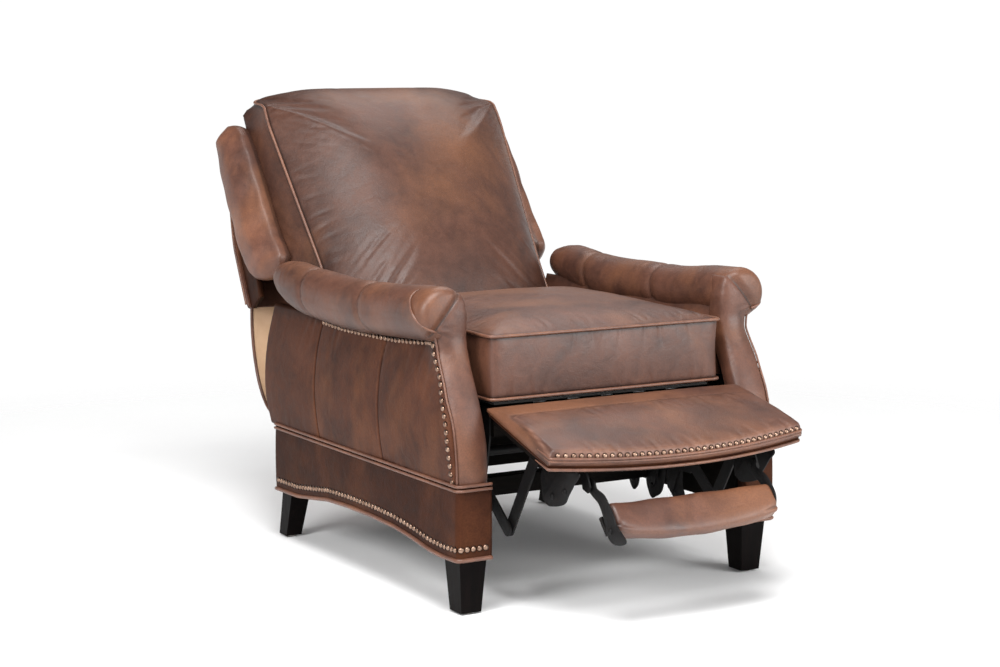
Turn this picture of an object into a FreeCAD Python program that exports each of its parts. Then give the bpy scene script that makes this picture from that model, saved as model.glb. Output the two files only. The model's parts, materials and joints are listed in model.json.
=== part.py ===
import FreeCAD, Part

import math
import os
from types import SimpleNamespace

import Sketcher
from FreeCAD import Placement, Rotation, Vector

# Recliner armchair, half open: the back is laid back and the footrest is part of the way out.
# Frame: +Z up from the floor, -Y towards the sitter's feet, +X to the sitter's left side.
# Lengths are in millimetres.  Depths are counted from the front of the front legs, and every
# sub-part is then moved forward by front_to_middle, so that the origin is on the floor in the
# middle of the chair's box.

DIMENSIONS = {
    # whole chair
    "front_to_middle": 433,
    "lean": 34.5,
    "leather_skin": 3,
    "plate_thickness": 4,
    "pin_clearance": 0.08,
    # legs and their glides
    "leg_front_x": 339,
    "leg_rear_x": 345,
    "leg_top_z": 112,
    "leg_front_top": 60,
    "leg_front_foot": 45,
    "leg_rear_top": 46,
    "leg_rear_foot": 37,
    "leg_front_y": 24,
    "leg_rear_top_y": 770,
    "leg_rear_foot_y": 806,
    "glide_height": 4,
    "glide_radius": 13,
    # base frame and skirt
    "skirt_outer_x": 380,
    "skirt_inner_x": 354,
    "skirt_return_x": 304,
    "skirt_front_y": -20,
    "skirt_back_y": 800,
    "skirt_return_back_y": 8,
    "skirt_top_z": 256,
    "rail_inner_x": 318,
    "rail_outer_x": 352,
    "rail_top_z": 250,
    "rail_low_z": 140,
    "block_inner_x": 304,
    "block_front_y": 12,
    "block_length": 60,
    "rear_block_y": 723,
    "base_clearance": 1,
    "cross_rail_y": 285,
    "cross_rail_width": 40,
    "cross_rail_low_z": 161,
    "cross_rail_top_z": 200,
    "rear_rail_y": 748,
    "rear_rail_back_y": 783,
    "rear_rail_low_z": 120,
    "apron_front_y": 784,
    # arms
    "arm_foot_z": 256,
    "arm_core_inner_x": 320,
    "arm_core_outer_x": 340,
    "arm_skin_outer_x": 384,
    "arm_panel_top_z": 506,
    "arm_front_inner_x": 304,
    "arm_front_outer_x": 376,
    "arm_front_thick": 16,
    "arm_inner_face_x": 286,
    "arm_inner_low_z": 412,
    "arm_inner_top_z": 556,
    "arm_inner_front_y": 86,
    "arm_inner_back_y": 770,
    "roll_x": 360,
    "roll_front_y": 79,
    "scroll_front_y": 60,
    "scroll_z": 579,
    "scroll_radius": 56,
    # seat
    "seat_half_width": 275,
    "seat_front_y": 32,
    "seat_low_z": 404,
    "seat_edge_z": 538,
    "seat_crown_z": 590,
    "seat_rail_inner_x": 218,
    "seat_rail_outer_x": 258,
    "seat_rail_front_y": 52,
    "seat_rail_back_y": 585,
    "seat_rail_width": 35,
    "seat_rail_low_z": 335,
    "seat_rail_top_z": 393,
    "spring_wire": 1.9,
    "deck_low_z": 399,
    "deck_thick": 4,
    # back, in its own upright frame about the recline pivot
    "pivot_y": 660,
    "pivot_z": 460,
    "back_half_low": 262,
    "back_half_top": 305,
    "back_low": -30,
    "back_spread_from": 190,
    "back_top": 674,
    "back_pad_front": -92,
    "back_pad_rear": 84,
    "post_inner_x": 228,
    "post_outer_x": 268,
    "post_front": 90,
    "post_back": 130,
    "post_low": -40,
    "post_top": 600,
    "back_rail_height": 45,
    "back_bottom_rail": -12,
    "wing_inner_x": 309,
    "wing_outer_x": 374,
    "shell_half_width": 368,
    "hinge_pin_radius": 8,
    "hinge_plate_x": 268,
    "bracket_x": 280,
    "bracket_half_length": 34,
    "bracket_eye": 22,
    "flange_drop": 12,
    "track_x": 269,
    "track_front_y": 340,
    "track_back_y": 600,
    "track_low_z": 382,
    "strap_half_length": 255,
    "strap_width": 50,
    "strap_thick": 2.5,
    "strap_gap": 0.7,
    "lip_back": 176,
    "lip_thick": 10,
    "flap_half_width": 314,
    # footrest linkage, half open
    "link_a_x": 250,
    "link_b_x": 244,
    "board_bracket_x": 236,
    "pad_bracket_x": 196,
    "pad_arm_x": 188,
    "linkage_plate_x": 258,
    "link_half_width": 14,
    "link_pin_radius": 5,
    "tube_radius": 10,
    "stub_radius": 6,
    "drive_y": 165,
    "drive_z": 284,
    "knee_y": 10,
    "knee_z": 158,
    "board_pin_y": -81,
    "board_pin_z": 312,
    "pad_pin_y": -190,
    "pad_pin_z": 275,
    # footrest board and the small pad beyond it
    "board_back_y": 8,
    "board_top_z": 407,
    "board_slope": 17.27,
    "board_half_width": 298,
    "board_corner_depth": 232,
    "board_bow_radius": 1130,
    "board_cover": 22,
    "board_core": 13,
    "board_core_inset": 12,
    "pad_back_y": -243,
    "pad_top_z": 251,
    "pad_slope": 51.5,
    "pad_half_width": 184,
    "pad_depth": 62,
    "pad_thick": 34,
    "pad_bow_radius": 900,
    # nail heads
    "nail_radius": 5,
    "nail_height": 2.6,
    "nail_gap": 0.3,
    "skirt_nail_pitch": 13.7,
    "skirt_nail_rise": 20,
    "arm_nail_pitch": 15.7,
    "arm_nail_setback": 25,
    "board_nail_setback": 24,
    "board_nail_margin": 14,
}

# Side view of the arm's leaning front edge: (y, z), from the skirt up to the scroll.
ARM_FRONT_EDGE = [(-14, 256), (-10, 340), (56, 478), (68, 506)]
ARM_FRONT_HOLLOW = -230
# Side view of the arm's rear edge, from the top down.
ARM_REAR_EDGE = [(852, 506), (845, 380), (829, 256)]
# Roll on top of the arm: distance back, height of its centre, radius.
ROLL_STATIONS = [
    (79, 579, 54), (210, 573, 54), (400, 565, 54.5), (600, 566, 54),
    (700, 577, 49), (765, 583, 38), (803, 584, 22),
]
# Lower edge of the skirt: (y, z, radius of the curve that follows), scalloped upwards in the middle.
SKIRT_EDGE = [
    (-20, 113), (60, 116, 260), (160, 127, -420), (250, 135, -900), (440, 135.5, -420),
    (560, 127, 300), (680, 115), (800, 113),
]
# Side view of a wing, (distance behind the pivot, height above it), clockwise from its nose.
WING_EDGE = [
    (38, 218, -60), (56, 262), (62, 556, -60), (100, 624, -45), (146, 606, -60), (171, 525),
    (183, 400), (184, 300, -60), (172, 258), (110, 218, -70),
]
# Side view of the outside back's board, in the back's upright frame.
SHELL_EDGE = [(173, 606), (187, 606), (198, 480), (238, 215), (224, 215), (188, 460)]
# Side view of the loose leather below the back, outer face first: (y, z).
FLAP_EDGE = [
    (978, 496), (980, 440), (972, 385), (948, 330), (908, 288), (852, 266), (802, 260),
    (802, 257), (853, 262.5), (910, 285), (951, 328), (975, 384), (983.5, 440), (981.5, 496),
]
# Side view of a hinge plate, in the back's upright frame.
HINGE_PLATE = [(-22, -18), (22, -30), (125, -34), (125, 150), (95, 150), (60, 30), (-22, 22)]
# Heights of the webbing's straps up the back.
STRAP_HEIGHTS = (90, 190, 290, 390, 490)
# Ends of the nail row on the skirt's return, across the front.
SKIRT_FRONT_NAILS = (314, 371)
# Ears under the footrest board: (forward of its rear edge, below its underside).
LINK_EAR = [(62, 0.4), (165, 0.4), (150, 18), (124, 44), (102, 44), (78, 18)]
PAD_EAR = [(190, 0.4), (214, 0.4), (242, 30), (238, 44), (220, 44)]
# Side view of a pad arm: (y, z), down its rear edge and up its front one.
PAD_ARM = [
    (-174, 280), (-180, 264), (-206, 252), (-226, 232), (-256, 170), (-282, 186),
    (-252, 242), (-234, 263), (-206, 286, 24), (-182, 292),
]
# Section of the bar under the pad: (y, z) in the pad's own frame.
PAD_BAR = [(-12, -43), (-50, -43), (-50, -35), (-12, -35)]
# Side view of the plates that carry the footrest linkage: (y, z).
LINKAGE_PLATE = [
    (62, 392), (262, 392), (262, 200), (242, 151), (222, 205), (196, 205), (174, 146), (150, 200),
    (110, 200), (80, 240), (62, 330),
]


class Dim:
    """A size: its value, and the sheet expression it comes from."""

    def __init__(self, value, text):
        self.value = value
        self.text = text

    @staticmethod
    def of(other):
        return other if isinstance(other, Dim) else Dim(float(other), f"({float(other)})")

    def combine(self, other, value, sign):
        return Dim(value, f"({self.text} {sign} {Dim.of(other).text})")

    def __add__(self, other):
        return self.combine(other, self.value + Dim.of(other).value, "+")

    def __sub__(self, other):
        return self.combine(other, self.value - Dim.of(other).value, "-")

    def __rsub__(self, other):
        return Dim.of(other) - self

    def __mul__(self, other):
        return self.combine(other, self.value * Dim.of(other).value, "*")

    def __neg__(self):
        return Dim(-self.value, f"(0 - {self.text})")

    __radd__ = __add__
    __rmul__ = __mul__


doc = FreeCAD.newDocument("recliner_armchair")
sheet = doc.addObject("Spreadsheet::Sheet", "Dimensions")
for row, (alias, number) in enumerate(DIMENSIONS.items(), start=1):
    sheet.set(f"A{row}", alias)
    sheet.set(f"B{row}", str(number))
    sheet.setAlias(f"B{row}", alias)
doc.recompute()
size = SimpleNamespace(**{
    alias: Dim(float(sheet.get(alias)), f"Dimensions.{alias}") for alias in DIMENSIONS
})

SIDES = (("left", 1), ("right", -1))
parts = []


def bind(thing, path, dim):
    """Set a property from the sheet."""
    thing.setExpression(path, Dim.of(dim).text)


def span(side, low, high):
    """A range of x on one side of the chair, given as distances from the middle."""
    low, high = Dim.of(low), Dim.of(high)
    return (low, high) if side > 0 else (-high, -low)


def keep(part):
    parts.append(part)
    return part


def place_on_base(part, x=0, y=0, z=0):
    """Put a sub-part down in the chair's frame, with y counted from the front legs."""
    part.Placement = Placement(Vector(0, 0, 0), Rotation())
    bind(part, "Placement.Base.x", x)
    bind(part, "Placement.Base.y", Dim.of(y) - size.front_to_middle)
    bind(part, "Placement.Base.z", z)


def place_tilted(part, y, z, angle, forward_down):
    """Put a sub-part that is modelled level or upright down at its angle about an x line."""
    axis = Vector(1, 0, 0) if forward_down else Vector(-1, 0, 0)
    part.Placement = Placement(Vector(0, 0, 0), Rotation(axis, angle.value))
    bind(part, "Placement.Base.y", y - size.front_to_middle)
    bind(part, "Placement.Base.z", z)
    bind(part, "Placement.Rotation.Angle", angle)


def on_base(part):
    place_on_base(part)


def on_back(part):
    place_tilted(part, size.pivot_y, size.pivot_z, size.lean, forward_down=False)


def on_board(part):
    place_tilted(part, size.board_back_y, size.board_top_z, size.board_slope, forward_down=True)


def on_pad(part):
    place_tilted(part, size.pad_back_y, size.pad_top_z, size.pad_slope, forward_down=True)


def new_body(name, place=on_base):
    body = doc.addObject("PartDesign::Body", name)
    body.Label = name
    place(body)
    return keep(body)


def block(name, x, y, z, place=on_base):
    """A straight rail or board, given by its low and high corner in each direction."""
    solid = doc.addObject("Part::Box", name)
    solid.Label = name
    lows = [Dim.of(pair[0]) for pair in (x, y, z)]
    highs = [Dim.of(pair[1]) for pair in (x, y, z)]
    for path, low, high in zip(("Length", "Width", "Height"), lows, highs):
        bind(solid, path, high - low)
    place_on_base(solid, *lows)
    return keep(solid)


def plane_of(body, role):
    return next(item for item in body.Origin.OriginFeatures if item.Role == role)


def new_sketch(body, role, offset=0):
    """A sketch on one of the body's own origin planes, moved along the plane's normal."""
    sketch = body.newObject("Sketcher::SketchObject", f"{body.Label}_sketch")
    sketch.AttachmentSupport = [(plane_of(body, role), "")]
    sketch.MapMode = "FlatFace"
    bind(sketch, "AttachmentOffset.Base.z", offset)
    return sketch


def pin_point(sketch, edge, end, u, v):
    """Fix a point of the sketch at its two coordinates."""
    for kind, coordinate in (("DistanceX", u), ("DistanceY", v)):
        index = sketch.addConstraint(Sketcher.Constraint(kind, edge, end, coordinate.value))
        if "Dimensions" in coordinate.text:
            bind(sketch, f"Constraints[{index}]", coordinate)


def arc_between(start, finish, radius):
    """The short arc of a radius from start to finish: a positive radius bulges to the right."""
    chord = finish - start
    half = chord.Length / 2
    across = Vector(chord.y, -chord.x, 0).normalize()
    sign = 1 if radius > 0 else -1
    reach = math.sqrt(max(radius * radius - half * half, 0))
    centre = (start + finish) * 0.5 - across * (reach * sign)
    angles = [math.atan2(point.y - centre.y, point.x - centre.x) for point in (start, finish)]
    if sign < 0:
        angles.reverse()
    return Part.ArcOfCircle(Part.Circle(centre, Vector(0, 0, 1), abs(radius)), *angles)


def draw_outline(sketch, corners):
    """Draw a closed outline.  A corner is (u, v), or (u, v, radius) when an arc leaves it."""
    points = [(Dim.of(corner[0]), Dim.of(corner[1])) for corner in corners]
    radii = [corner[2] if len(corner) > 2 else None for corner in corners]
    places = [Vector(u.value, v.value, 0) for u, v in points]
    ends = []
    for index, radius in enumerate(radii):
        start = places[index]
        finish = places[(index + 1) % len(places)]
        if radius is None:
            edge = sketch.addGeometry(Part.LineSegment(start, finish), False)
            ends.append((edge, 1, 2))
            continue
        bend = Dim.of(radius)
        edge = sketch.addGeometry(arc_between(start, finish, bend.value), False)
        ends.append((edge, 1, 2) if bend.value > 0 else (edge, 2, 1))
        size_of_bend = Dim(abs(bend.value), f"abs({bend.text})")
        index_of_bend = sketch.addConstraint(Sketcher.Constraint("Radius", edge, size_of_bend.value))
        if "Dimensions" in bend.text:
            bind(sketch, f"Constraints[{index_of_bend}]", size_of_bend)
    for index, (edge, _, end) in enumerate(ends):
        next_edge, next_start, _ = ends[(index + 1) % len(ends)]
        sketch.addConstraint(Sketcher.Constraint("Coincident", edge, end, next_edge, next_start))
    for (edge, start, _), (u, v) in zip(ends, points):
        pin_point(sketch, edge, start, u, v)


def draw_circle(sketch, u, v, radius):
    u, v, radius = Dim.of(u), Dim.of(v), Dim.of(radius)
    shape = Part.Circle(Vector(u.value, v.value, 0), Vector(0, 0, 1), radius.value)
    edge = sketch.addGeometry(shape, False)
    index = sketch.addConstraint(Sketcher.Constraint("Radius", edge, radius.value))
    bind(sketch, f"Constraints[{index}]", radius)
    pin_point(sketch, edge, 3, u, v)


def pad(body, sketch, length, reverse=False):
    feature = body.newObject("PartDesign::Pad", f"{body.Label}_pad")
    feature.Profile = sketch
    feature.Reversed = reverse
    bind(feature, "Length", length)
    body.Tip = feature
    return feature


def loft(body, sketches):
    feature = body.newObject("PartDesign::AdditiveLoft", f"{body.Label}_loft")
    feature.Profile = sketches[0]
    feature.Sections = sketches[1:]
    feature.Ruled = True
    body.Tip = feature
    return feature


def cut_across(body, sketch):
    """Cut an outline drawn in side view right through the body."""
    feature = body.newObject("PartDesign::Pocket", f"{body.Label}_pocket")
    feature.Profile = sketch
    feature.Type = "ThroughAll"
    feature.Midplane = True
    body.Tip = feature
    return feature


def join(name, pieces):
    """Put equal pieces from both sides of the chair in one node."""
    compound = doc.addObject("Part::Compound", name)
    compound.Label = name
    compound.Links = pieces
    for piece in pieces:
        parts.remove(piece)
    return keep(compound)


def soften(body, radius):
    """Round every edge of the body."""
    doc.recompute()
    base = body.Tip
    feature = body.newObject("PartDesign::Fillet", f"{body.Label}_fillet")
    feature.Base = (base, [""])
    feature.UseAllEdges = True
    feature.Radius = radius
    body.Tip = feature
    return feature


def side_slab(name, x, corners, holes=(), place=on_base):
    """A slab cut to an outline in side view, between two distances from the middle."""
    body = new_body(name, place)
    sketch = new_sketch(body, "YZ_Plane", x[0])
    draw_outline(sketch, corners)
    for y, z, radius in holes:
        draw_circle(sketch, y, z, radius)
    pad(body, sketch, x[1] - x[0])
    return body


def add_side_rod(body, x, y, z, radius):
    """A round pin across the chair, fused to a slab."""
    sketch = new_sketch(body, "YZ_Plane", x[0])
    draw_circle(sketch, y, z, radius)
    pad(body, sketch, x[1] - x[0])


def link_outline(start, finish, half_width):
    """A flat link with round ends about its two pivots."""
    along = Vector(finish[0].value - start[0].value, finish[1].value - start[1].value, 0).normalize()
    across = Vector(-along.y, along.x, 0)
    width = half_width.value
    corners = []
    for (y, z), direction in ((start, -1), (finish, 1)):
        for turn in (-direction, direction):
            corner = (y + across.x * width * turn * -1, z + across.y * width * turn * -1)
            corners.append(corner)
    bend = Dim(width * 1.0001, f"({half_width.text} * 1.0001)")
    (a, b, c, d) = corners
    return [(a[0], a[1]), (d[0], d[1], bend), (c[0], c[1]), (b[0], b[1], bend)]


def group(name, solids, place=on_base):
    """Several equal pieces in one node."""
    feature = doc.addObject("Part::Feature", name)
    feature.Label = name
    feature.Shape = Part.Compound(solids)
    place(feature)
    return keep(feature)


# ---------------------------------------------------------------- base: legs and frame

def make_leg(name, x, y_foot, y_top, foot, top):
    """A square leg that tapers down to its foot."""
    body = new_body(name)
    sketches = []
    stations = ((size.glide_height, y_foot, foot), (size.leg_top_z, y_top, top))
    for height, y, side_length in stations:
        sketch = new_sketch(body, "XY_Plane", height)
        half = side_length * 0.5
        low_x, high_x = x - half, x + half
        low_y, high_y = y - half, y + half
        draw_outline(sketch, [(low_x, low_y), (high_x, low_y), (high_x, high_y), (low_x, high_y)])
        sketches.append(sketch)
    loft(body, sketches)


def make_legs():
    for side_name, side in SIDES:
        x, y = size.leg_front_x * side, size.leg_front_y
        make_leg(f"front_leg_{side_name}", x, y, y, size.leg_front_foot, size.leg_front_top)
        x, y = size.leg_rear_x * side, size.leg_rear_foot_y
        top_y = size.leg_rear_top_y
        make_leg(f"rear_leg_{side_name}", x, y, top_y, size.leg_rear_foot, size.leg_rear_top)
    glides = []
    for x, y in ((size.leg_front_x, size.leg_front_y), (size.leg_rear_x, size.leg_rear_foot_y)):
        for side in (1, -1):
            foot = Vector(x.value * side, y.value, 0)
            glides.append(Part.makeCylinder(size.glide_radius.value, size.glide_height.value, foot))
    group("leg_glides", glides)


def make_base_frame():
    blocks = []
    front_y = size.block_front_y
    rear_y = size.rear_block_y
    length = size.block_length.value
    for _, side in SIDES:
        low_x, high_x = span(side, size.block_inner_x, size.rail_outer_x)
        for y in (front_y, rear_y):
            corner = Vector(low_x.value, y.value, size.leg_top_z.value)
            height = size.rail_top_z.value - size.leg_top_z.value
            blocks.append(Part.makeBox(high_x.value - low_x.value, length, height, corner))
    group("corner_blocks", blocks)
    rails = []
    for side_name, side in SIDES:
        rail_y = (size.block_front_y + size.block_length, size.rear_block_y)
        rail_x = span(side, size.rail_inner_x, size.rail_outer_x)
        rails.append(block(f"side_rail_{side_name}", rail_x, rail_y, (size.rail_low_z, size.rail_top_z)))
    join("side_rails", rails)
    across = (-size.rail_inner_x, size.rail_inner_x)
    cross_y = (size.cross_rail_y, size.cross_rail_y + size.cross_rail_width)
    block("cross_rail", across, cross_y, (size.cross_rail_low_z, size.cross_rail_top_z))
    rear_x = (-size.block_inner_x, size.block_inner_x)
    rear_y = (size.rear_rail_y, size.rear_rail_back_y)
    block("rear_rail", rear_x, rear_y, (size.rear_rail_low_z, size.rail_top_z))
    apron_end = size.skirt_inner_x - size.base_clearance
    apron_y = (size.apron_front_y, size.skirt_back_y)
    apron_z = (size.leg_top_z + size.base_clearance, size.skirt_top_z)
    block("rear_apron", (-apron_end, apron_end), apron_y, apron_z)


def make_skirts():
    """Leather-covered rails with a scalloped lower edge, returned round the front corner."""
    for side_name, side in SIDES:
        body = new_body(f"skirt_{side_name}")
        x = span(side, size.skirt_inner_x, size.skirt_outer_x)
        sketch = new_sketch(body, "YZ_Plane", x[0])
        top = [(size.skirt_back_y, size.skirt_top_z), (size.skirt_front_y, size.skirt_top_z)]
        draw_outline(sketch, SKIRT_EDGE + top)
        pad(body, sketch, x[1] - x[0])
        x = span(side, size.skirt_return_x, size.skirt_inner_x + 1)
        sketch = new_sketch(body, "YZ_Plane", x[0])
        foot = size.leg_top_z + size.base_clearance
        draw_outline(sketch, [
            (size.skirt_front_y, foot), (size.skirt_return_back_y, foot),
            (size.skirt_return_back_y, size.skirt_top_z), (size.skirt_front_y, size.skirt_top_z),
        ])
        pad(body, sketch, x[1] - x[0])


# ---------------------------------------------------------------- arms

def arm_front(shift):
    """The leaning front edge of the arm, moved back by a thickness."""
    first, second, third, fourth = [(y + shift, z) for y, z in ARM_FRONT_EDGE]
    return [first, second + (ARM_FRONT_HOLLOW - shift,), third, fourth]


def make_arm(side_name, side):
    core_x = span(side, size.arm_core_inner_x, size.arm_core_outer_x)
    side_slab(f"arm_core_{side_name}", core_x, arm_side(size.arm_front_thick.value))
    skin_x = span(side, size.arm_core_outer_x + 1, size.arm_skin_outer_x)
    side_slab(f"arm_outer_panel_{side_name}", skin_x, arm_side(size.arm_front_thick.value + 1))
    make_arm_inner_panel(side_name, side)
    make_arm_front(side_name, side)
    make_arm_roll(side_name, side)


def arm_side(shift):
    """Side view of the whole arm, behind its front panel."""
    return arm_front(shift) + ARM_REAR_EDGE


def make_arm_inner_panel(side_name, side):
    body = new_body(f"arm_inner_panel_{side_name}")
    x = span(side, size.arm_inner_face_x, size.arm_core_inner_x - 1)
    sketch = new_sketch(body, "YZ_Plane", x[0])
    draw_outline(sketch, [
        (size.arm_inner_front_y, size.arm_inner_low_z), (size.arm_inner_back_y, size.arm_inner_low_z),
        (size.arm_inner_back_y, size.arm_panel_top_z), (size.arm_inner_front_y, size.arm_panel_top_z),
    ])
    pad(body, sketch, x[1] - x[0])


def make_arm_front(side_name, side):
    """Front panel that leans back as it rises to a round scroll."""
    body = new_body(f"arm_front_panel_{side_name}")
    x = span(side, size.arm_front_inner_x, size.arm_front_outer_x)
    sketch = new_sketch(body, "YZ_Plane", x[0])
    outer = arm_front(0)
    inner = arm_front(size.arm_front_thick.value)
    hollow = inner[1][2]
    back = [(inner[3][0], 522), inner[2] + (-hollow,), inner[1][:2], inner[0]]
    scroll_foot = (outer[3][0] + 4, 522)
    draw_outline(sketch, outer + [scroll_foot] + back)
    pad(body, sketch, x[1] - x[0])
    sketch = new_sketch(body, "XZ_Plane", -size.scroll_front_y)
    draw_circle(sketch, size.roll_x * side, size.scroll_z, size.scroll_radius)
    pad(body, sketch, size.roll_front_y - size.scroll_front_y - 1, reverse=True)


def make_arm_roll(side_name, side):
    body = new_body(f"arm_roll_{side_name}")
    sketches = []
    for y, z, radius in ROLL_STATIONS:
        sketch = new_sketch(body, "XZ_Plane", -y)
        draw_circle(sketch, size.roll_x * side, z, radius)
        sketches.append(sketch)
    loft(body, sketches)


# ---------------------------------------------------------------- seat

def make_spring(x, low_y, high_y, z, wire):
    """One zigzag spring, from the front seat rail to the rear one."""
    swing = 24
    pitch = 19
    count = int((high_y - low_y) / pitch)
    pitch = (high_y - low_y) / count
    start = Vector(x, low_y, z)
    edges = []
    for index in range(count):
        reach = swing if index % 2 == 0 else -swing
        near = start + Vector(0, pitch * index, 0)
        far = near + Vector(0, pitch, 0)
        side_near = near + Vector(reach, 0, 0)
        side_far = far + Vector(reach, 0, 0)
        bulge = Vector(reach + math.copysign(pitch / 2, reach), pitch / 2, 0)
        edges.append(Part.makeLine(near, side_near))
        edges.append(Part.Arc(side_near, near + bulge, side_far).toShape())
        edges.append(Part.makeLine(side_far, far))
    path = Part.Wire(edges)
    profile = Part.Wire(Part.makeCircle(wire, start, Vector(1, 0, 0)))
    return path.makePipeShell([profile], True, False)


def make_seat():
    rails = []
    for side_name, side in SIDES:
        rail_x = span(side, size.seat_rail_inner_x, size.seat_rail_outer_x)
        rail_y = (size.seat_rail_front_y, size.seat_rail_back_y)
        rail_z = (size.seat_rail_low_z, size.seat_rail_top_z)
        rails.append(block(f"seat_side_rail_{side_name}", rail_x, rail_y, rail_z))
    join("seat_side_rails", rails)
    across = (-size.seat_rail_inner_x, size.seat_rail_inner_x)
    rail_z = (size.seat_rail_low_z, size.seat_rail_top_z)
    front = (size.seat_rail_front_y, size.seat_rail_front_y + size.seat_rail_width)
    rear = (size.seat_rail_back_y - size.seat_rail_width, size.seat_rail_back_y)
    block("seat_front_rail", across, front, rail_z)
    block("seat_rear_rail", across, rear, rail_z)
    wire = size.spring_wire.value
    spring_z = size.seat_rail_top_z.value + wire + 0.2
    springs = [
        make_spring(x, size.seat_rail_front_y.value + 12, size.seat_rail_back_y.value - 12, spring_z, wire)
        for x in (-160, -80, 0, 80, 160)
    ]
    group("seat_springs", springs)
    deck_x = (-size.seat_rail_outer_x, size.seat_rail_outer_x)
    deck_y = (size.seat_rail_front_y, size.seat_rail_back_y)
    block("seat_deck", deck_x, deck_y, (size.deck_low_z, size.deck_low_z + size.deck_thick))
    make_seat_cushion()
    for side_name, side in SIDES:
        plate_x = span(side, size.linkage_plate_x + 0.5, size.linkage_plate_x + 0.5 + size.plate_thickness)
        hole = (size.drive_y, size.drive_z, size.stub_radius + size.pin_clearance)
        side_slab(f"linkage_plate_{side_name}", plate_x, LINKAGE_PLATE, [hole])


def make_seat_cushion():
    """Crowned cushion whose rear face slopes to clear the back when it stands upright."""
    body = new_body("seat_cushion")
    sketch = new_sketch(body, "YZ_Plane", -size.seat_half_width)
    edge = size.seat_edge_z
    draw_outline(sketch, [
        (size.seat_front_y, size.seat_low_z), (528, size.seat_low_z), (578, edge + 28, 1250),
        (95, edge + 28), (size.seat_front_y, edge - 4),
    ])
    pad(body, sketch, size.seat_half_width * 2)
    soften(body, 14)


# ---------------------------------------------------------------- back

def make_back():
    make_back_cushion()
    posts = []
    for side_name, side in SIDES:
        wing_x = span(side, size.wing_inner_x, size.wing_outer_x)
        wing = side_slab(f"wing_{side_name}", wing_x, WING_EDGE, place=on_back)
        soften(wing, 14)
        post_x = span(side, size.post_inner_x, size.post_outer_x - 0.5)
        posts.append(side_slab(f"back_post_{side_name}", post_x, [
            (size.post_front, size.post_low), (size.post_back, size.post_low),
            (size.post_back, size.post_top), (size.post_front, size.post_top),
        ], place=on_back))
        make_hinge_plate(side_name, side)
    join("back_posts", posts)
    top_rail = size.post_top - size.back_rail_height
    for name, low in (("back_top_rail", top_rail), ("back_bottom_rail", size.back_bottom_rail)):
        rail_x = (-size.post_inner_x + 0.2, size.post_inner_x - 0.2)
        high = low + size.back_rail_height
        side_slab(name, rail_x, [
            (size.post_front, low), (size.post_back, low), (size.post_back, high), (size.post_front, high),
        ], place=on_back)
    straps = []
    length, thick = size.strap_half_length.value * 2, size.strap_thick.value
    behind = size.post_front.value - size.strap_gap.value - thick
    for height in STRAP_HEIGHTS:
        corner = Vector(-length * 0.5, behind, height)
        straps.append(Part.makeBox(length, thick, size.strap_width.value, corner))
    group("back_webbing", straps, on_back)
    make_outside_back()


def make_outside_back():
    """Board behind the back and its wings, with a lip over the frame's top rail."""
    shell_x = (-size.shell_half_width, size.shell_half_width)
    body = side_slab("outside_back", shell_x, SHELL_EDGE, place=on_back)
    lip_x = (-size.wing_inner_x + 3, size.wing_inner_x - 3)
    sketch = new_sketch(body, "YZ_Plane", lip_x[0])
    low, front, back = size.post_top + 2, size.post_front, size.lip_back
    high = low + size.lip_thick
    draw_outline(sketch, [(front, low), (back, low), (back, high), (front, high)])
    pad(body, sketch, lip_x[1] - lip_x[0])


def make_back_cushion():
    body = new_body("back_cushion", on_back)
    sketch = new_sketch(body, "XZ_Plane", -size.back_pad_rear)
    low, top = size.back_half_low, size.back_half_top
    shoulder = size.back_top - 60
    draw_outline(sketch, [
        (-low, size.back_low), (low, size.back_low), (low + 3, size.back_spread_from),
        (top, shoulder, 62), (top - 62, size.back_top - 4, 2400), (-top + 62, size.back_top - 4, 62),
        (-top, shoulder), (-low - 3, size.back_spread_from),
    ])
    pad(body, sketch, size.back_pad_rear - size.back_pad_front)
    soften(body, 26)
    sketch = new_sketch(body, "YZ_Plane")
    outside = size.back_pad_front - 20
    beyond = size.back_top + 45
    draw_outline(sketch, [
        (outside, 380), (size.back_pad_front - 1, 380, -420), (-60, 592, -140), (2, size.back_top - 3),
        (2, beyond), (outside, beyond),
    ])
    cut_across(body, sketch)


def make_hinge_plate(side_name, side):
    """Steel plate on the back's post, with the pin that the whole back turns on."""
    name = f"back_hinge_plate_{side_name}"
    plate_x = span(side, size.hinge_plate_x, size.hinge_plate_x + size.plate_thickness)
    body = side_slab(name, plate_x, HINGE_PLATE, place=on_back)
    thick = size.plate_thickness
    pin_x = span(side, size.hinge_plate_x + thick - 1, size.bracket_x + thick + 1)
    add_side_rod(body, pin_x, 0, 0, size.hinge_pin_radius)


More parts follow.
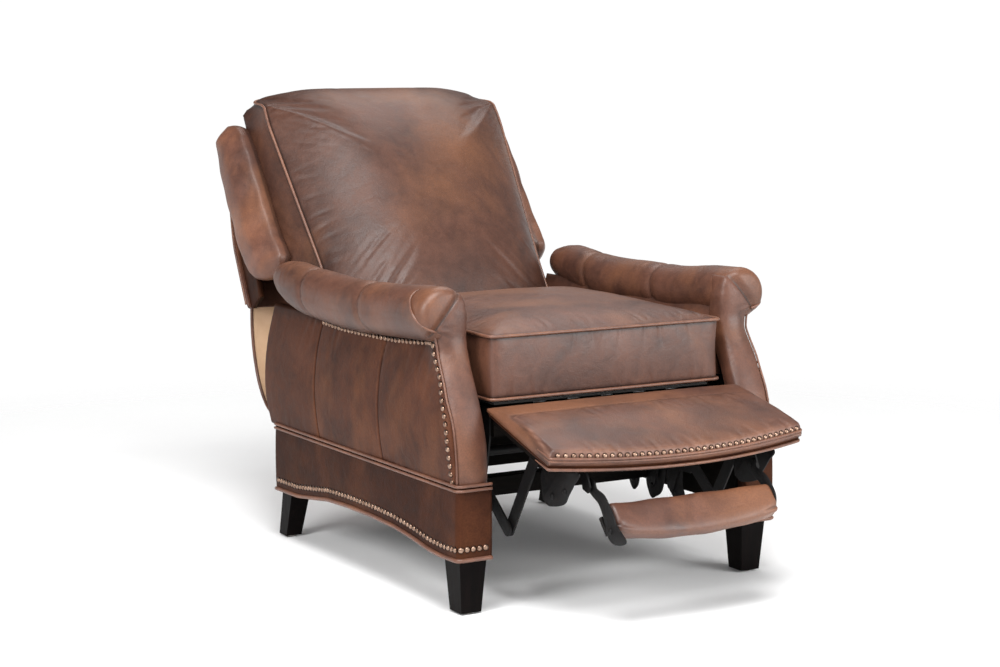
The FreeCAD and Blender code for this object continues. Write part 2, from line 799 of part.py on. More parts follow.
def make_brackets():
    """Brackets on the base that hold the back's pins, and the tracks that the seat slides along."""
    flange_z = size.rail_top_z - size.flange_drop
    thick = size.plate_thickness
    front, rear = size.pivot_y - size.bracket_half_length, size.pivot_y + size.bracket_half_length
    eye_front, eye_rear = size.pivot_y - size.bracket_eye, size.pivot_y + size.bracket_eye
    brackets, tracks = [], []
    for side_name, side in SIDES:
        plate_x = span(side, size.bracket_x, size.bracket_x + thick)
        hole = (size.pivot_y, size.pivot_z, size.hinge_pin_radius + size.pin_clearance)
        brackets.append(side_slab(f"back_pivot_bracket_{side_name}", plate_x, [
            (front, flange_z), (rear, flange_z), (eye_rear, size.pivot_z, size.bracket_eye + 0.01),
            (eye_front, size.pivot_z),
        ], [hole]))
        add_flange(brackets[-1], side, size.bracket_x + 1, front, rear, flange_z)
        track_x = span(side, size.track_x, size.track_x + thick)
        tracks.append(side_slab(f"slide_track_{side_name}", track_x, [
            (size.track_front_y, flange_z), (size.track_back_y, flange_z),
            (size.track_back_y, size.track_low_z), (size.track_front_y, size.track_low_z),
        ]))
        add_flange(tracks[-1], side, size.track_x + 1, size.track_front_y, size.track_back_y, flange_z)
    join("back_pivot_brackets", brackets)
    join("slide_tracks", tracks)


def add_flange(body, side, inner, front, rear, z):
    """A level foot that reaches out from a bracket to the base's side rail."""
    x = span(side, inner, size.rail_inner_x)
    sketch = new_sketch(body, "YZ_Plane", x[0])
    top = z + size.plate_thickness
    draw_outline(sketch, [(front, z), (rear, z), (rear, top), (front, top)])
    pad(body, sketch, x[1] - x[0])


def make_flap():
    """Loose leather from the reclined shell's lower edge down to the base's rear rail."""
    side_slab("back_flap", (-size.flap_half_width, size.flap_half_width), FLAP_EDGE)


# ---------------------------------------------------------------- footrest

def make_links():
    """Two links a side carry the board; the front pair is turned by one tube across the chair."""
    thick = size.plate_thickness
    drive = (size.drive_y, size.drive_z)
    knee = (size.knee_y, size.knee_z)
    board_pin = (size.board_pin_y, size.board_pin_z)
    half = size.link_half_width
    for side_name, side in SIDES:
        x = span(side, size.link_a_x, size.link_a_x + thick)
        body = side_slab(f"drive_link_{side_name}", x, link_outline(drive, knee, half))
        add_side_rod(body, span(side, size.link_a_x + 1, size.linkage_plate_x + 6), *drive, size.stub_radius)
        add_side_rod(body, span(side, size.link_b_x - 1, size.link_a_x + 1), *knee, size.link_pin_radius)
        x = span(side, size.link_b_x, size.link_b_x + thick)
        hole = knee + (size.link_pin_radius + size.pin_clearance,)
        body = side_slab(f"lift_link_{side_name}", x, link_outline(knee, board_pin, half), [hole])
        pin_x = span(side, size.board_bracket_x - 1, size.link_b_x + 1)
        add_side_rod(body, pin_x, *board_pin, size.link_pin_radius)
    tube = doc.addObject("Part::Cylinder", "torque_tube")
    tube.Label = "torque_tube"
    bind(tube, "Radius", size.tube_radius)
    bind(tube, "Height", size.link_a_x * 2)
    tube.Placement = Placement(Vector(0, 0, 0), Rotation(Vector(0, 1, 0), 90))
    bind(tube, "Placement.Base.x", -size.link_a_x)
    bind(tube, "Placement.Base.y", size.drive_y - size.front_to_middle)
    bind(tube, "Placement.Base.z", size.drive_z)
    keep(tube)


def board_plan(inset, depth_cut):
    """Plan of the footrest board: straight behind, gently bowed in front."""
    half = size.board_half_width - inset
    depth = size.board_corner_depth - depth_cut
    return [(-half, -inset), (-half, -depth, size.board_bow_radius), (half, -depth), (half, -inset)]


def make_board():
    cover = new_body("footrest_cover", on_board)
    sketch = new_sketch(cover, "XY_Plane", -size.board_cover)
    draw_outline(sketch, board_plan(Dim.of(0), Dim.of(0)))
    pad(cover, sketch, size.board_cover)
    core = new_body("footrest_board", on_board)
    sketch = new_sketch(core, "XY_Plane", -size.board_cover - size.board_core)
    draw_outline(sketch, board_plan(size.board_core_inset, size.board_core_inset))
    pad(core, sketch, size.board_core)
    make_board_brackets()


def make_board_brackets():
    """Steel ears under the board, drawn in the chair's own frame: two for the links, two for the pad."""
    link_ears, pad_ears = [], []
    for side_name, side in SIDES:
        x = span(side, size.board_bracket_x, size.board_bracket_x + size.plate_thickness)
        hole = (size.board_pin_y, size.board_pin_z, size.link_pin_radius + size.pin_clearance)
        ear = [under_board(forward, below) for forward, below in LINK_EAR]
        link_ears.append(side_slab(f"board_bracket_{side_name}", x, ear, [hole]))
        x = span(side, size.pad_bracket_x, size.pad_bracket_x + size.plate_thickness)
        ear = [under_board(forward, below) for forward, below in PAD_EAR]
        pad_ears.append(side_slab(f"pad_bracket_{side_name}", x, ear))
        pin_x = span(side, size.pad_arm_x - 1, size.pad_bracket_x + 1)
        add_side_rod(pad_ears[-1], pin_x, size.pad_pin_y, size.pad_pin_z, size.link_pin_radius)
    join("board_brackets", link_ears)
    join("pad_brackets", pad_ears)


def under_board(forward, below):
    """A point under the board: a distance forward of its rear edge and below its underside."""
    slope = math.radians(size.board_slope.value)
    depth = size.board_cover.value + size.board_core.value + below
    y = size.board_back_y.value - forward * math.cos(slope) + depth * math.sin(slope)
    z = size.board_top_z.value - forward * math.sin(slope) - depth * math.cos(slope)
    return (y, z)


def make_pad():
    """The small pad beyond the board, on two bent arms."""
    body = new_body("pad_cushion", on_pad)
    sketch = new_sketch(body, "XY_Plane", -size.pad_thick)
    half, depth = size.pad_half_width, size.pad_depth
    draw_outline(sketch, [(-half, 0), (-half, -depth, size.pad_bow_radius), (half, -depth), (half, 0)])
    pad(body, sketch, size.pad_thick)
    soften(body, 9)
    bar_x = (-size.pad_arm_x + 0.2, size.pad_arm_x - 0.2)
    side_slab("pad_bar", bar_x, PAD_BAR, place=on_pad)
    for side_name, side in SIDES:
        x = span(side, size.pad_arm_x, size.pad_arm_x + size.plate_thickness)
        hole = (size.pad_pin_y, size.pad_pin_z, size.link_pin_radius + size.pin_clearance)
        side_slab(f"pad_arm_{side_name}", x, PAD_ARM, [hole])


# ---------------------------------------------------------------- nail heads

def make_nail(place, outward):
    """A domed nail head with its flat side on the leather."""
    radius, height = size.nail_radius.value, size.nail_height.value
    ball = (radius * radius + height * height) / (2 * height)
    low = math.degrees(math.asin((ball - height) / ball))
    dome = Part.makeSphere(ball, Vector(0, 0, 0), Vector(0, 0, 1), low, 90, 360)
    dome.translate(Vector(0, 0, height - ball + size.nail_gap.value))
    dome.Placement = Placement(place, Rotation(Vector(0, 0, 1), outward)).multiply(dome.Placement)
    return dome


def along(points, pitch):
    """Places a pitch apart along a line of points."""
    left = 0.0
    for start, finish in zip(points, points[1:]):
        length = (finish - start).Length
        step = left
        while step < length:
            yield start + (finish - start) * (step / length)
            step += pitch
        left = step - length


def make_nails():
    skirt_nails, arm_nails = [], []
    rise = size.skirt_nail_rise.value
    skirt_pitch = size.skirt_nail_pitch.value
    for _, side in SIDES:
        face_x = size.skirt_outer_x.value * side
        edge = [Vector(face_x, corner[0], corner[1] + rise) for corner in SKIRT_EDGE]
        edge[0].y += size.nail_radius.value * 2
        edge[-1].y -= size.nail_radius.value * 2
        for place in along(edge, skirt_pitch):
            skirt_nails.append(make_nail(place, Vector(side, 0, 0)))
        front_y = size.skirt_front_y.value
        row = [Vector(x * side, front_y, edge[0].z) for x in SKIRT_FRONT_NAILS]
        for place in along(row, skirt_pitch):
            skirt_nails.append(make_nail(place, Vector(0, -1, 0)))
        for place in along(arm_nail_line(side), size.arm_nail_pitch.value):
            arm_nails.append(make_nail(place, Vector(side, 0, 0)))
    group("skirt_nails", skirt_nails)
    group("arm_nails", arm_nails)
    make_board_nails(size.arm_nail_pitch.value)


def arm_nail_line(side):
    """A line on the arm's outer face that follows its front edge, a little way behind it."""
    setback = size.arm_nail_setback.value
    x = size.arm_skin_outer_x.value * side
    places = [Vector(y + setback, z, 0) for y, z in ARM_FRONT_EDGE[:3]]
    hollow = arc_between(places[1], places[2], ARM_FRONT_HOLLOW - setback).discretize(12)
    if hollow[0].y > hollow[-1].y:
        hollow.reverse()
    foot = places[0] + Vector(0, size.nail_radius.value * 2, 0)
    return [Vector(x, point.x, point.y) for point in [foot] + hollow]


def make_board_nails(pitch):
    """A row that follows the bow of the board's front edge."""
    half = size.board_half_width.value - size.board_nail_margin.value
    radius = size.board_bow_radius.value
    corner = size.board_corner_depth.value
    rise = math.sqrt(radius ** 2 - size.board_half_width.value ** 2)
    count = int(2 * half / pitch)
    nails = []
    for index in range(count + 1):
        x = -half + 2 * half * index / count
        y = size.board_nail_setback.value - (corner + math.sqrt(radius ** 2 - x ** 2) - rise)
        nails.append(make_nail(Vector(x, y, 0), Vector(0, 0, 1)))
    group("footrest_nails", nails, on_board)


# ---------------------------------------------------------------- build, check and write

make_legs()
make_base_frame()
make_skirts()
for side_name, side in SIDES:
    make_arm(side_name, side)
make_brackets()
make_flap()
make_seat()
make_back()
make_links()
make_board()
make_pad()
make_nails()
doc.recompute()

for item in doc.Objects:
    if "Invalid" in item.State or "Error" in item.State:
        raise SystemExit(f"{item.Label} did not recompute: {item.State}")
os.makedirs("parts", exist_ok=True)
for part in parts:
    if part.Shape.isNull() or not part.Shape.isValid() or part.Shape.Volume <= 0:
        raise SystemExit(f"{part.Label} has no valid shape")
    part.Shape.exportStep(os.path.join("parts", f"{part.Label}.step"))
print(len(parts), "nodes written")
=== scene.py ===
import json
import math

import bmesh
import bpy
import numpy as np
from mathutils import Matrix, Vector

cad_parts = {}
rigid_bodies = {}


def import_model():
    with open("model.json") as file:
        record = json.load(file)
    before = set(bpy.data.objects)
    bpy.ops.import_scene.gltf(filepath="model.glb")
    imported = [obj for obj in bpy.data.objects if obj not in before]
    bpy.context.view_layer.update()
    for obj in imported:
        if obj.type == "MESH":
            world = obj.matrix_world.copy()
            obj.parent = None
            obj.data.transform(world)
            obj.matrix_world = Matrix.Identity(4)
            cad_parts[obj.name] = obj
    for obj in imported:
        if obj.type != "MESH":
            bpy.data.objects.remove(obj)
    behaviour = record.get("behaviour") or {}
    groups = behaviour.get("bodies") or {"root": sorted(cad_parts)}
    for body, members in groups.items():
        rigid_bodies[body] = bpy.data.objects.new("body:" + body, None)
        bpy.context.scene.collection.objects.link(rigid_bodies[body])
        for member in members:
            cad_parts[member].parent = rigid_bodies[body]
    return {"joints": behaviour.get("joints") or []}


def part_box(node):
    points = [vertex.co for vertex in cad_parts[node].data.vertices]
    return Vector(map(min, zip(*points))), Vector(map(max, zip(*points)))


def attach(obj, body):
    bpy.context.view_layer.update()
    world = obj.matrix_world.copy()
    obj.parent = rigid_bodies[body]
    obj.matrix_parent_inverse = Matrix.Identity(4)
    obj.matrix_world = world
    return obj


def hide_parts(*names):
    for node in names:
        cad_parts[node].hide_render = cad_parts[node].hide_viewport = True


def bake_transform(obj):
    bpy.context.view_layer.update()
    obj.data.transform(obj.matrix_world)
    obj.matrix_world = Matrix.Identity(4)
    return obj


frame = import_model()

# A leather push-back recliner, half open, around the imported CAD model.
# Lengths are metres.  "Depth" is counted back from the front of the front legs.

for thing in [o for o in bpy.data.objects if o.name in ("Cube", "Light", "Camera")]:
    bpy.data.objects.remove(thing)
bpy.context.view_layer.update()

LEGS_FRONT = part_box("skirt_left")[0].y + 0.020
JOINTS = {joint["name"]: joint for joint in frame["joints"]}
PIVOT = JOINTS["back_recline"]["pos_m"]
LEAN = math.radians(34.5)
BOARD_SLOPE = math.radians(17.27)
BOARD_ORIGIN = (LEGS_FRONT + 0.008, 0.407)
PAD_SLOPE = math.radians(51.5)
PAD_ORIGIN = (LEGS_FRONT - 0.243, 0.251)
SIDES = (("left", 1), ("right", -1))
chance = np.random.default_rng(7)


# ------------------------------------------------------------------ places

def stack(x, y, z):
    return np.stack(np.broadcast_arrays(x, y, z), axis=-1).astype(float)


def on_base(x, depth, z):
    return stack(x, np.asarray(depth) + LEGS_FRONT, z)


def on_back(x, behind, above):
    """A point of the reclined back: distance behind the pivot's plane, and up along the back."""
    behind, above = np.asarray(behind, float), np.asarray(above, float)
    y = PIVOT[1] + above * math.sin(LEAN) + behind * math.cos(LEAN)
    z = PIVOT[2] + above * math.cos(LEAN) - behind * math.sin(LEAN)
    return stack(x, y, z)


def on_slope(origin, slope, x, forward, up):
    """A point of a sloping board: distance forward of its rear edge, and above its top."""
    forward, up = np.asarray(forward, float), np.asarray(up, float)
    y = origin[0] - forward * math.cos(slope) - up * math.sin(slope)
    z = origin[1] - forward * math.sin(slope) + up * math.cos(slope)
    return stack(x, y, z)


def on_board(x, forward, up):
    return on_slope(BOARD_ORIGIN, BOARD_SLOPE, x, forward, up)


def on_pad(x, forward, up):
    return on_slope(PAD_ORIGIN, PAD_SLOPE, x, forward, up)


# ------------------------------------------------------------------ curves and grids

def ease(at, keys, values, width=0.02):
    """Softened straight-line interpolation."""
    at = np.asarray(at, float)
    return sum(np.interp(at + shift * width, keys, values) for shift in np.linspace(-1, 1, 9)) / 9


def even_line(dense, count, **where):
    """A dense line of points, taken at even spacing."""
    lengths = np.concatenate([[0], np.cumsum(np.linalg.norm(np.diff(dense, axis=0), axis=1))])
    places = np.linspace(0, lengths[-1], count(lengths[-1]), **where)
    return np.stack([np.interp(places, lengths, dense[:, k]) for k in range(dense.shape[1])], 1)


def outward_of(line):
    """The sideways direction of a flat line at each of its points."""
    ahead = np.gradient(line, axis=0)
    ahead /= np.linalg.norm(ahead, axis=1, keepdims=True)
    return np.stack([ahead[:, 1], -ahead[:, 0]], 1)


def bump(distance, width):
    return np.exp(-(np.asarray(distance) / width) ** 2)


def step_up(at, start, end):
    t = np.clip((np.asarray(at, float) - start) / (end - start), 0, 1)
    return t * t * (3 - 2 * t)


def smooth_line(points, spacing=0.004, closed=False):
    """A Catmull-Rom curve through points, at even spacing."""
    points = np.asarray(points, float)
    if closed:
        padded = np.vstack([points[-1], points, points[:2]])
    else:
        padded = np.vstack([2 * points[0] - points[1], points, 2 * points[-1] - points[-2]])
    t = np.linspace(0, 1, 17)[:-1, None]
    dense = []
    for a, b, c, d in zip(padded[:-3], padded[1:-2], padded[2:-1], padded[3:]):
        dense.append(0.5 * (2 * b + (c - a) * t + (2 * a - 5 * b + 4 * c - d) * t ** 2
                            + (3 * b - a - 3 * c + d) * t ** 3))
    dense.append(padded[-2:-1] if not closed else points[:1])
    line = even_line(np.vstack(dense), lambda length: max(3, int(round(length / spacing)) + 1))
    return line[:-1] if closed else line


def rim(length, spacing, radius, steps=5):
    """Places 0 to 1 along a width whose ends are rounded over, and how high each stands."""
    angle = np.linspace(0, math.pi / 2, steps + 1)
    near = radius * (1 - np.cos(angle))
    count = max(3, int((length - 2 * radius) / spacing) + 2)
    middle = np.linspace(radius, length - radius, count)[1:-1]
    where = np.concatenate([near, middle, length - near[::-1]])
    lift = np.concatenate([np.sin(angle), np.ones(len(middle)), np.sin(angle)[::-1]])
    return where / length, lift


def rimmed_grid(wide, tall):
    """Places across and up a sheet with rounded edges, and how high each stands."""
    (us, lift_u), (vs, lift_v) = rim(*wide), rim(*tall)
    u, v = np.meshgrid(us, vs, indexing="ij")
    return u, v, lift_u[:, None] * lift_v[None, :]


def grid_faces(rows, columns, start=0, around=False):
    r = np.arange(rows - 1)[:, None]
    c = np.arange(columns if around else columns - 1)[None, :]
    nxt = (c + 1) % columns
    a, b = start + r * columns + c, start + r * columns + nxt
    return np.stack([a, b, b + columns, a + columns], -1).reshape(-1, 4)


def crease(u, v, start, end, width, depth):
    """How deep a fold is at (u, v): deepest in its middle, fading to its far end."""
    a, b = np.array(start, float), np.array(end, float)
    along = b - a
    length = np.linalg.norm(along)
    t = ((u - a[0]) * along[0] + (v - a[1]) * along[1]) / length ** 2
    aside = ((u - a[0]) * along[1] - (v - a[1]) * along[0]) / length
    fade = np.clip(1 - t, 0, 1) * step_up(t, -0.15, 0.1) * (t < 1)
    return -depth * fade * (bump(aside, width) - 0.55 * bump(aside - 2.1 * width, 1.3 * width))


# ------------------------------------------------------------------ meshes

def place_object(name, data):
    thing = bpy.data.objects.new(name, data)
    bpy.context.scene.collection.objects.link(thing)
    return thing


def write_tones(data, tone, warm):
    """Smooth the mesh and store the two leather values of its points: tone (painted shade below 0, painted
    highlight partly standing for wear above 0) and warm (amber mottling).
    """
    data.polygons.foreach_set("use_smooth", np.ones(len(data.polygons), bool))
    for label, values in (("tone", tone), ("warm", warm)):
        layer = data.attributes.new(label, "FLOAT", "POINT")
        layer.data.foreach_set("value", np.asarray(values, np.float32))


def mesh_points(data):
    return np.array([vertex.co for vertex in data.vertices])


class Shape:
    """Points, faces and the two leather values of one mesh (painted shade and highlight in tone, amber
    mottling in warm), gathered before it is made.
    """

    def __init__(self):
        self.points, self.faces, self.tone, self.warm, self.count = [], [], [], [], 0

    def add(self, points, faces, tone=0.0, warm=0.0):
        points = np.asarray(points, float).reshape(-1, 3)
        self.points.append(points)
        self.faces.extend((np.asarray(face) + self.count).tolist() for face in faces)
        for store, value in ((self.tone, tone), (self.warm, warm)):
            store.append(np.broadcast_to(np.asarray(value, float).reshape(-1) if np.ndim(value) else value,
                                         (len(points),)))
        self.count += len(points)
        return self

    def rings(self, rings, tone=0.0, warm=0.0):
        """A closed skin over rings of points; each end is closed by a fan."""
        rings = np.asarray(rings, float)
        n, m = rings.shape[:2]
        faces = list(grid_faces(n, m, around=True))
        ends = rings[[0, -1]].mean(1)
        tone = np.broadcast_to(tone, (n, m)) if np.ndim(tone) else np.full((n, m), tone)
        warm = np.broadcast_to(warm, (n, m)) if np.ndim(warm) else np.full((n, m), warm)
        for k in range(m):
            faces.append([n * m, (k + 1) % m, k])
            faces.append([n * m + 1, (n - 1) * m + k, (n - 1) * m + (k + 1) % m])
        points = np.vstack([rings.reshape(-1, 3), ends])
        return self.add(points, faces, np.append(tone.reshape(-1), [tone[0].mean(), tone[-1].mean()]),
                        np.append(warm.reshape(-1), [warm[0].mean(), warm[-1].mean()]))

    def slab(self, front, rear, tone=0.0, warm=0.0):
        """A closed sheet between two grids of points that share their layout."""
        front, rear = np.asarray(front, float), np.asarray(rear, float)
        n, m = front.shape[:2]
        size = n * m
        faces = list(grid_faces(n, m)) + [f[::-1] for f in grid_faces(n, m, start=size)]
        edge = [(0, c) for c in range(m)] + [(r, m - 1) for r in range(1, n)]
        edge += [(n - 1, c) for c in range(m - 2, -1, -1)] + [(r, 0) for r in range(n - 2, 0, -1)]
        marks = [r * m + c for r, c in edge]
        for a, b in zip(marks, marks[1:] + marks[:1]):
            faces.append([b, a, a + size, b + size])
        spread = []
        for value in (tone, warm):
            value = np.broadcast_to(value, (n, m)).reshape(-1)
            spread.append(np.concatenate([value, value]))
        return self.add(np.vstack([front.reshape(-1, 3), rear.reshape(-1, 3)]), faces, *spread)

    def tube(self, path, radius, sides=10, closed=False, tone=0.35, warm=0.1):
        """A cord along a path, with the slight unevenness of leather piping; its tone of about 0.3 paints a
        pale highlight along the cord.
        """
        path = np.asarray(path, float)
        n = len(path)
        ahead = np.roll(path, -1, 0) - np.roll(path, 1, 0)
        if not closed:
            ahead[0], ahead[-1] = path[1] - path[0], path[-1] - path[-2]
        ahead /= np.linalg.norm(ahead, axis=1, keepdims=True)
        side = np.cross(ahead[0], (0.31, 0.42, 0.85))
        frames = []
        for direction in ahead:
            side = side - direction * (side @ direction)
            side /= np.linalg.norm(side)
            frames.append((side, np.cross(direction, side)))
        turn = np.linspace(0, 2 * math.pi, sides, endpoint=False)
        wave = 1 + 0.04 * np.sin(np.arange(n) * 2.1) * np.sin(np.arange(n) * 0.37 + 1)
        sides_a = np.array([f[0] for f in frames])[:, None, :]
        sides_b = np.array([f[1] for f in frames])[:, None, :]
        swell = np.broadcast_to(radius, (n,)) * wave
        rings = path[:, None, :] + swell[:, None, None] * (
            np.cos(turn)[None, :, None] * sides_a + np.sin(turn)[None, :, None] * sides_b)
        if not closed:
            return self.rings(rings, tone, warm)
        points = rings.reshape(-1, 3)
        faces = grid_faces(n + 1, sides, around=True) % (n * sides)
        return self.add(points, faces, tone, warm)

    def domes(self, places, normals, radius=0.005, height=0.0028):
        """Nail heads, each leaning a little its own way."""
        outline = np.array([(1.38, -0.25), (1.36, 0.0), (1.12, 0.06), (1, 0.08), (0.95, 0.38), (0.8, 0.67),
                            (0.55, 0.88), (0.28, 0.98)])
        turn = np.linspace(0, 2 * math.pi, 12, endpoint=False)
        for place, normal in zip(np.asarray(places), np.asarray(normals)):
            normal = normal / np.linalg.norm(normal) + chance.normal(0, 0.05, 3)
            normal /= np.linalg.norm(normal)
            a = np.cross(normal, (0.2, 0.3, 0.93))
            a /= np.linalg.norm(a)
            b = np.cross(normal, a)
            points = [place + radius * r * (math.cos(t) * a + math.sin(t) * b) + normal * height * h
                      for r, h in outline for t in turn]
            points.append(place + normal * height)
            faces = [face[::-1] for face in grid_faces(len(outline), 12, around=True)]
            last = (len(outline) - 1) * 12
            faces += [[last + (k + 1) % 12, last + k, len(points) - 1] for k in range(12)]
            faces.append(list(range(12)))
            tone = np.full(len(points), chance.uniform(-1, 1))
            # the rim rings get tone -3: a painted near-black shadow ring round each head
            tone[:36] = -3
            self.add(points, faces, tone, 0)
        return self

    def mirrored(self):
        other = Shape()
        for name in ("tone", "warm"):
            setattr(other, name, list(getattr(self, name)))
        other.points = [points * (-1, 1, 1) for points in self.points]
        other.faces = [face[::-1] for face in self.faces]
        other.count = self.count
        return other

    def make(self, name, material, body, replaces=(), slot="leather", smooth_angle=None):
        data = bpy.data.meshes.new(name)
        data.from_pydata(np.vstack(self.points).tolist(), [], self.faces)
        data.validate()
        write_tones(data, np.concatenate(self.tone), np.concatenate(self.warm))
        if smooth_angle is not None:
            data.set_sharp_from_angle(angle=math.radians(smooth_angle))
        data.materials.append(material)
        thing = place_object(name, data)
        if body:
            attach(thing, body)
        if replaces:
            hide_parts(*replaces)
        return thing


def fix_normals(thing):
    """Turn every face of a closed mesh outwards."""
    work = bmesh.new()
    work.from_mesh(thing.data)
    bmesh.ops.recalc_face_normals(work, faces=work.faces)
    work.to_mesh(thing.data)
    work.free()
    return thing


# ------------------------------------------------------------------ materials

class Nodes:
    """A short way to write a node tree."""

    def __init__(self, owner, shader="Principled BSDF", place="Object"):
        self.owner = owner
        owner.use_nodes = True
        self.tree = owner.node_tree
        self.shader = self.tree.nodes[shader]
        self.place = self.add("ShaderNodeTexCoord").outputs[place]

    def add(self, kind, **settings):
        node = self.tree.nodes.new(kind)
        for key, value in settings.items():
            setattr(node, key, value)
        return node

    def link(self, source, target):
        self.tree.links.new(source, target)

    def fill(self, socket, value):
        if hasattr(value, "is_output"):
            self.link(value, socket)
        else:
            socket.default_value = value

    def noise(self, scale, detail=3.0, roughness=0.5, distortion=0.0, place=None):
        node = self.add("ShaderNodeTexNoise")
        self.link(place or self.place, node.inputs["Vector"])
        node.inputs["Scale"].default_value = scale
        node.inputs["Detail"].default_value = detail
        node.inputs["Roughness"].default_value = roughness
        node.inputs["Distortion"].default_value = distortion
        return node.outputs["Fac"]

    def cells(self, scale, feature):
        node = self.add("ShaderNodeTexVoronoi", feature=feature)
        self.link(self.place, node.inputs["Vector"])
        node.inputs["Scale"].default_value = scale
        return node.outputs["Distance"]

    def stretch(self, x, y, z):
        node = self.add("ShaderNodeMapping")
        self.link(self.place, node.inputs["Vector"])
        node.inputs["Scale"].default_value = (x, y, z)
        return node.outputs["Vector"]

    def math(self, kind, a, b, clamp=False):
        node = self.add("ShaderNodeMath", operation=kind, use_clamp=clamp)
        self.fill(node.inputs[0], a)
        self.fill(node.inputs[1], b)
        return node.outputs[0]

    def band(self, value, low, high, to_low=0.0, to_high=1.0):
        node = self.add("ShaderNodeMapRange")
        self.fill(node.inputs["Value"], value)
        for key, number in (("From Min", low), ("From Max", high), ("To Min", to_low), ("To Max", to_high)):
            node.inputs[key].default_value = number
        return node.outputs["Result"]

    def mix(self, factor, a, b):
        node = self.add("ShaderNodeMix", data_type="RGBA")
        self.fill(node.inputs[0], factor)
        for socket, value in ((node.inputs[6], a), (node.inputs[7], b)):
            self.fill(socket, value if hasattr(value, "is_output") else (*value, 1.0))
        return node.outputs[2]

    def attribute(self, name):
        return self.add("ShaderNodeAttribute", attribute_name=name).outputs["Fac"]

    def raise_by(self, height, distance, strength=1.0, under=None):
        node = self.add("ShaderNodeBump")
        self.link(height, node.inputs["Height"])
        node.inputs["Distance"].default_value = distance
        node.inputs["Strength"].default_value = strength
        if under is not None:
            self.link(under, node.inputs["Normal"])
        return node.outputs["Normal"]

    def finish(self, colour, roughness, normal=None, **constants):
        self.fill(self.shader.inputs["Base Color"], colour)
        self.fill(self.shader.inputs["Roughness"], roughness)
        if normal is not None:
            self.link(normal, self.shader.inputs["Normal"])
        for key, value in constants.items():
            self.shader.inputs[key.replace("_", " ")].default_value = value
        return self.owner


def leather(name, brightness=1.0, redness=1.0, patch=7.0, rough=0.44, gloss=0.48):
    """Aniline leather: mottled dark brown over amber, fine pebble grain, satin finish; the per-point tone
    paints shade (near black) into seams, creases and hidden sides and paints highlight (pale) on crowns and
    cords, partly as wear.
    """
    n = Nodes(bpy.data.materials.new(name))
    tone, warm = n.attribute("tone"), n.attribute("warm")

    def shade(r, g, b):
        return (r * brightness * redness, g * brightness, b * brightness / redness)

    dark = shade(0.043, 0.0165, 0.0105)
    brown = shade(0.112, 0.043, 0.0250)
    amber = shade(0.235, 0.092, 0.040)
    pale = shade(0.300, 0.160, 0.112)
    cloud = n.noise(patch, 5.0, 0.60, 0.7)
    fine = n.noise(patch * 5.0, 5.0, 0.65, 0.5)
    rub = n.math("ADD", n.math("MULTIPLY", cloud, 0.66), n.math("MULTIPLY", fine, 0.34))
    # tone nudges the mottling too: darker where shade is painted, lighter where highlight is painted
    rub = n.math("ADD", rub, n.math("MULTIPLY", tone, 0.10))
    colour = n.mix(n.band(rub, 0.34, 0.60), dark, brown)
    glow = n.noise(patch * 0.9, 4.0, 0.6, 0.5, place=n.stretch(1.0, 1.0, 0.7))
    glow = n.math("ADD", glow, n.math("MULTIPLY", warm, 0.24))
    colour = n.mix(n.band(glow, 0.46, 0.80, 0.0, 0.66), colour, amber)
    # positive tone is a painted highlight (pale) on crowns, ridges and cords, broken up by fine noise; partly
    # it stands for rubbed wear
    painted_highlight_and_wear = n.math("MULTIPLY", n.band(tone, 0.05, 1.0), n.band(fine, 0.3, 0.7, 0.55, 1.0))
    colour = n.mix(n.math("MULTIPLY", painted_highlight_and_wear, 0.80), colour, pale)
    speck = n.noise(300.0, 3.0, 0.65)
    colour = n.mix(n.band(speck, 0.34, 0.66, 0.34, 0.0), colour, shade(0.038, 0.016, 0.011))
    # negative tone is painted shade: seams, creases, undersides and hidden sides go towards near-black
    seam = n.band(tone, 0.0, -1.0)
    colour = n.mix(n.math("MULTIPLY", seam, 0.88), colour, shade(0.010, 0.005, 0.0035))
    pores = n.cells(560.0, "SMOOTH_F1")
    grain = n.math("ADD", pores, n.math("MULTIPLY", n.noise(240.0, 3.0, 0.6), 0.9))
    folds = n.noise(30.0, 5.0, 0.60, 0.9)
    normal = n.raise_by(folds, 0.0026, 0.34)
    normal = n.raise_by(grain, 0.00042, 0.42, under=normal)
    shine = n.band(n.math("ADD", fine, n.math("MULTIPLY", grain, 0.10)), 0.3, 0.8, rough - 0.05, rough + 0.09)
    return n.finish(colour, shine, normal, Specular_IOR_Level=gloss)


def suede(name):
    n = Nodes(bpy.data.materials.new(name))
    nap = n.noise(900.0, 3.0, 0.7)
    patch = n.noise(14.0, 4.0, 0.6)
    colour = n.mix(n.band(patch, 0.3, 0.7), (0.50, 0.31, 0.18), (0.62, 0.41, 0.26))
    colour = n.mix(n.band(nap, 0.3, 0.7, 0.3, 0.0), colour, (0.42, 0.25, 0.14))
    return n.finish(colour, 0.92, n.raise_by(nap, 0.0006, 0.5), Specular_IOR_Level=0.2, Sheen_Weight=0.35,
                    Sheen_Roughness=0.5)


def wood(name, light, dark, rough, along=(1.0, 1.0, 0.06)):
    """Timber with its grain along one direction."""
    n = Nodes(bpy.data.materials.new(name))
    place = n.stretch(*along)
    rings = n.noise(60.0, 5.0, 0.6, 1.4, place=place)
    pores = n.noise(540.0, 2.0, 0.7, 0.2, place=place)
    colour = n.mix(n.band(rings, 0.36, 0.64), dark, light)
    colour = n.mix(n.band(pores, 0.42, 0.66, 0.45, 0.0), colour, tuple(0.45 * c for c in dark))
    normal = n.raise_by(n.math("ADD", rings, n.math("MULTIPLY", pores, 0.5)), 0.0006, 0.25)
    return n.finish(colour, n.band(rings, 0.3, 0.7, rough, rough + 0.12), normal, Specular_IOR_Level=0.05)


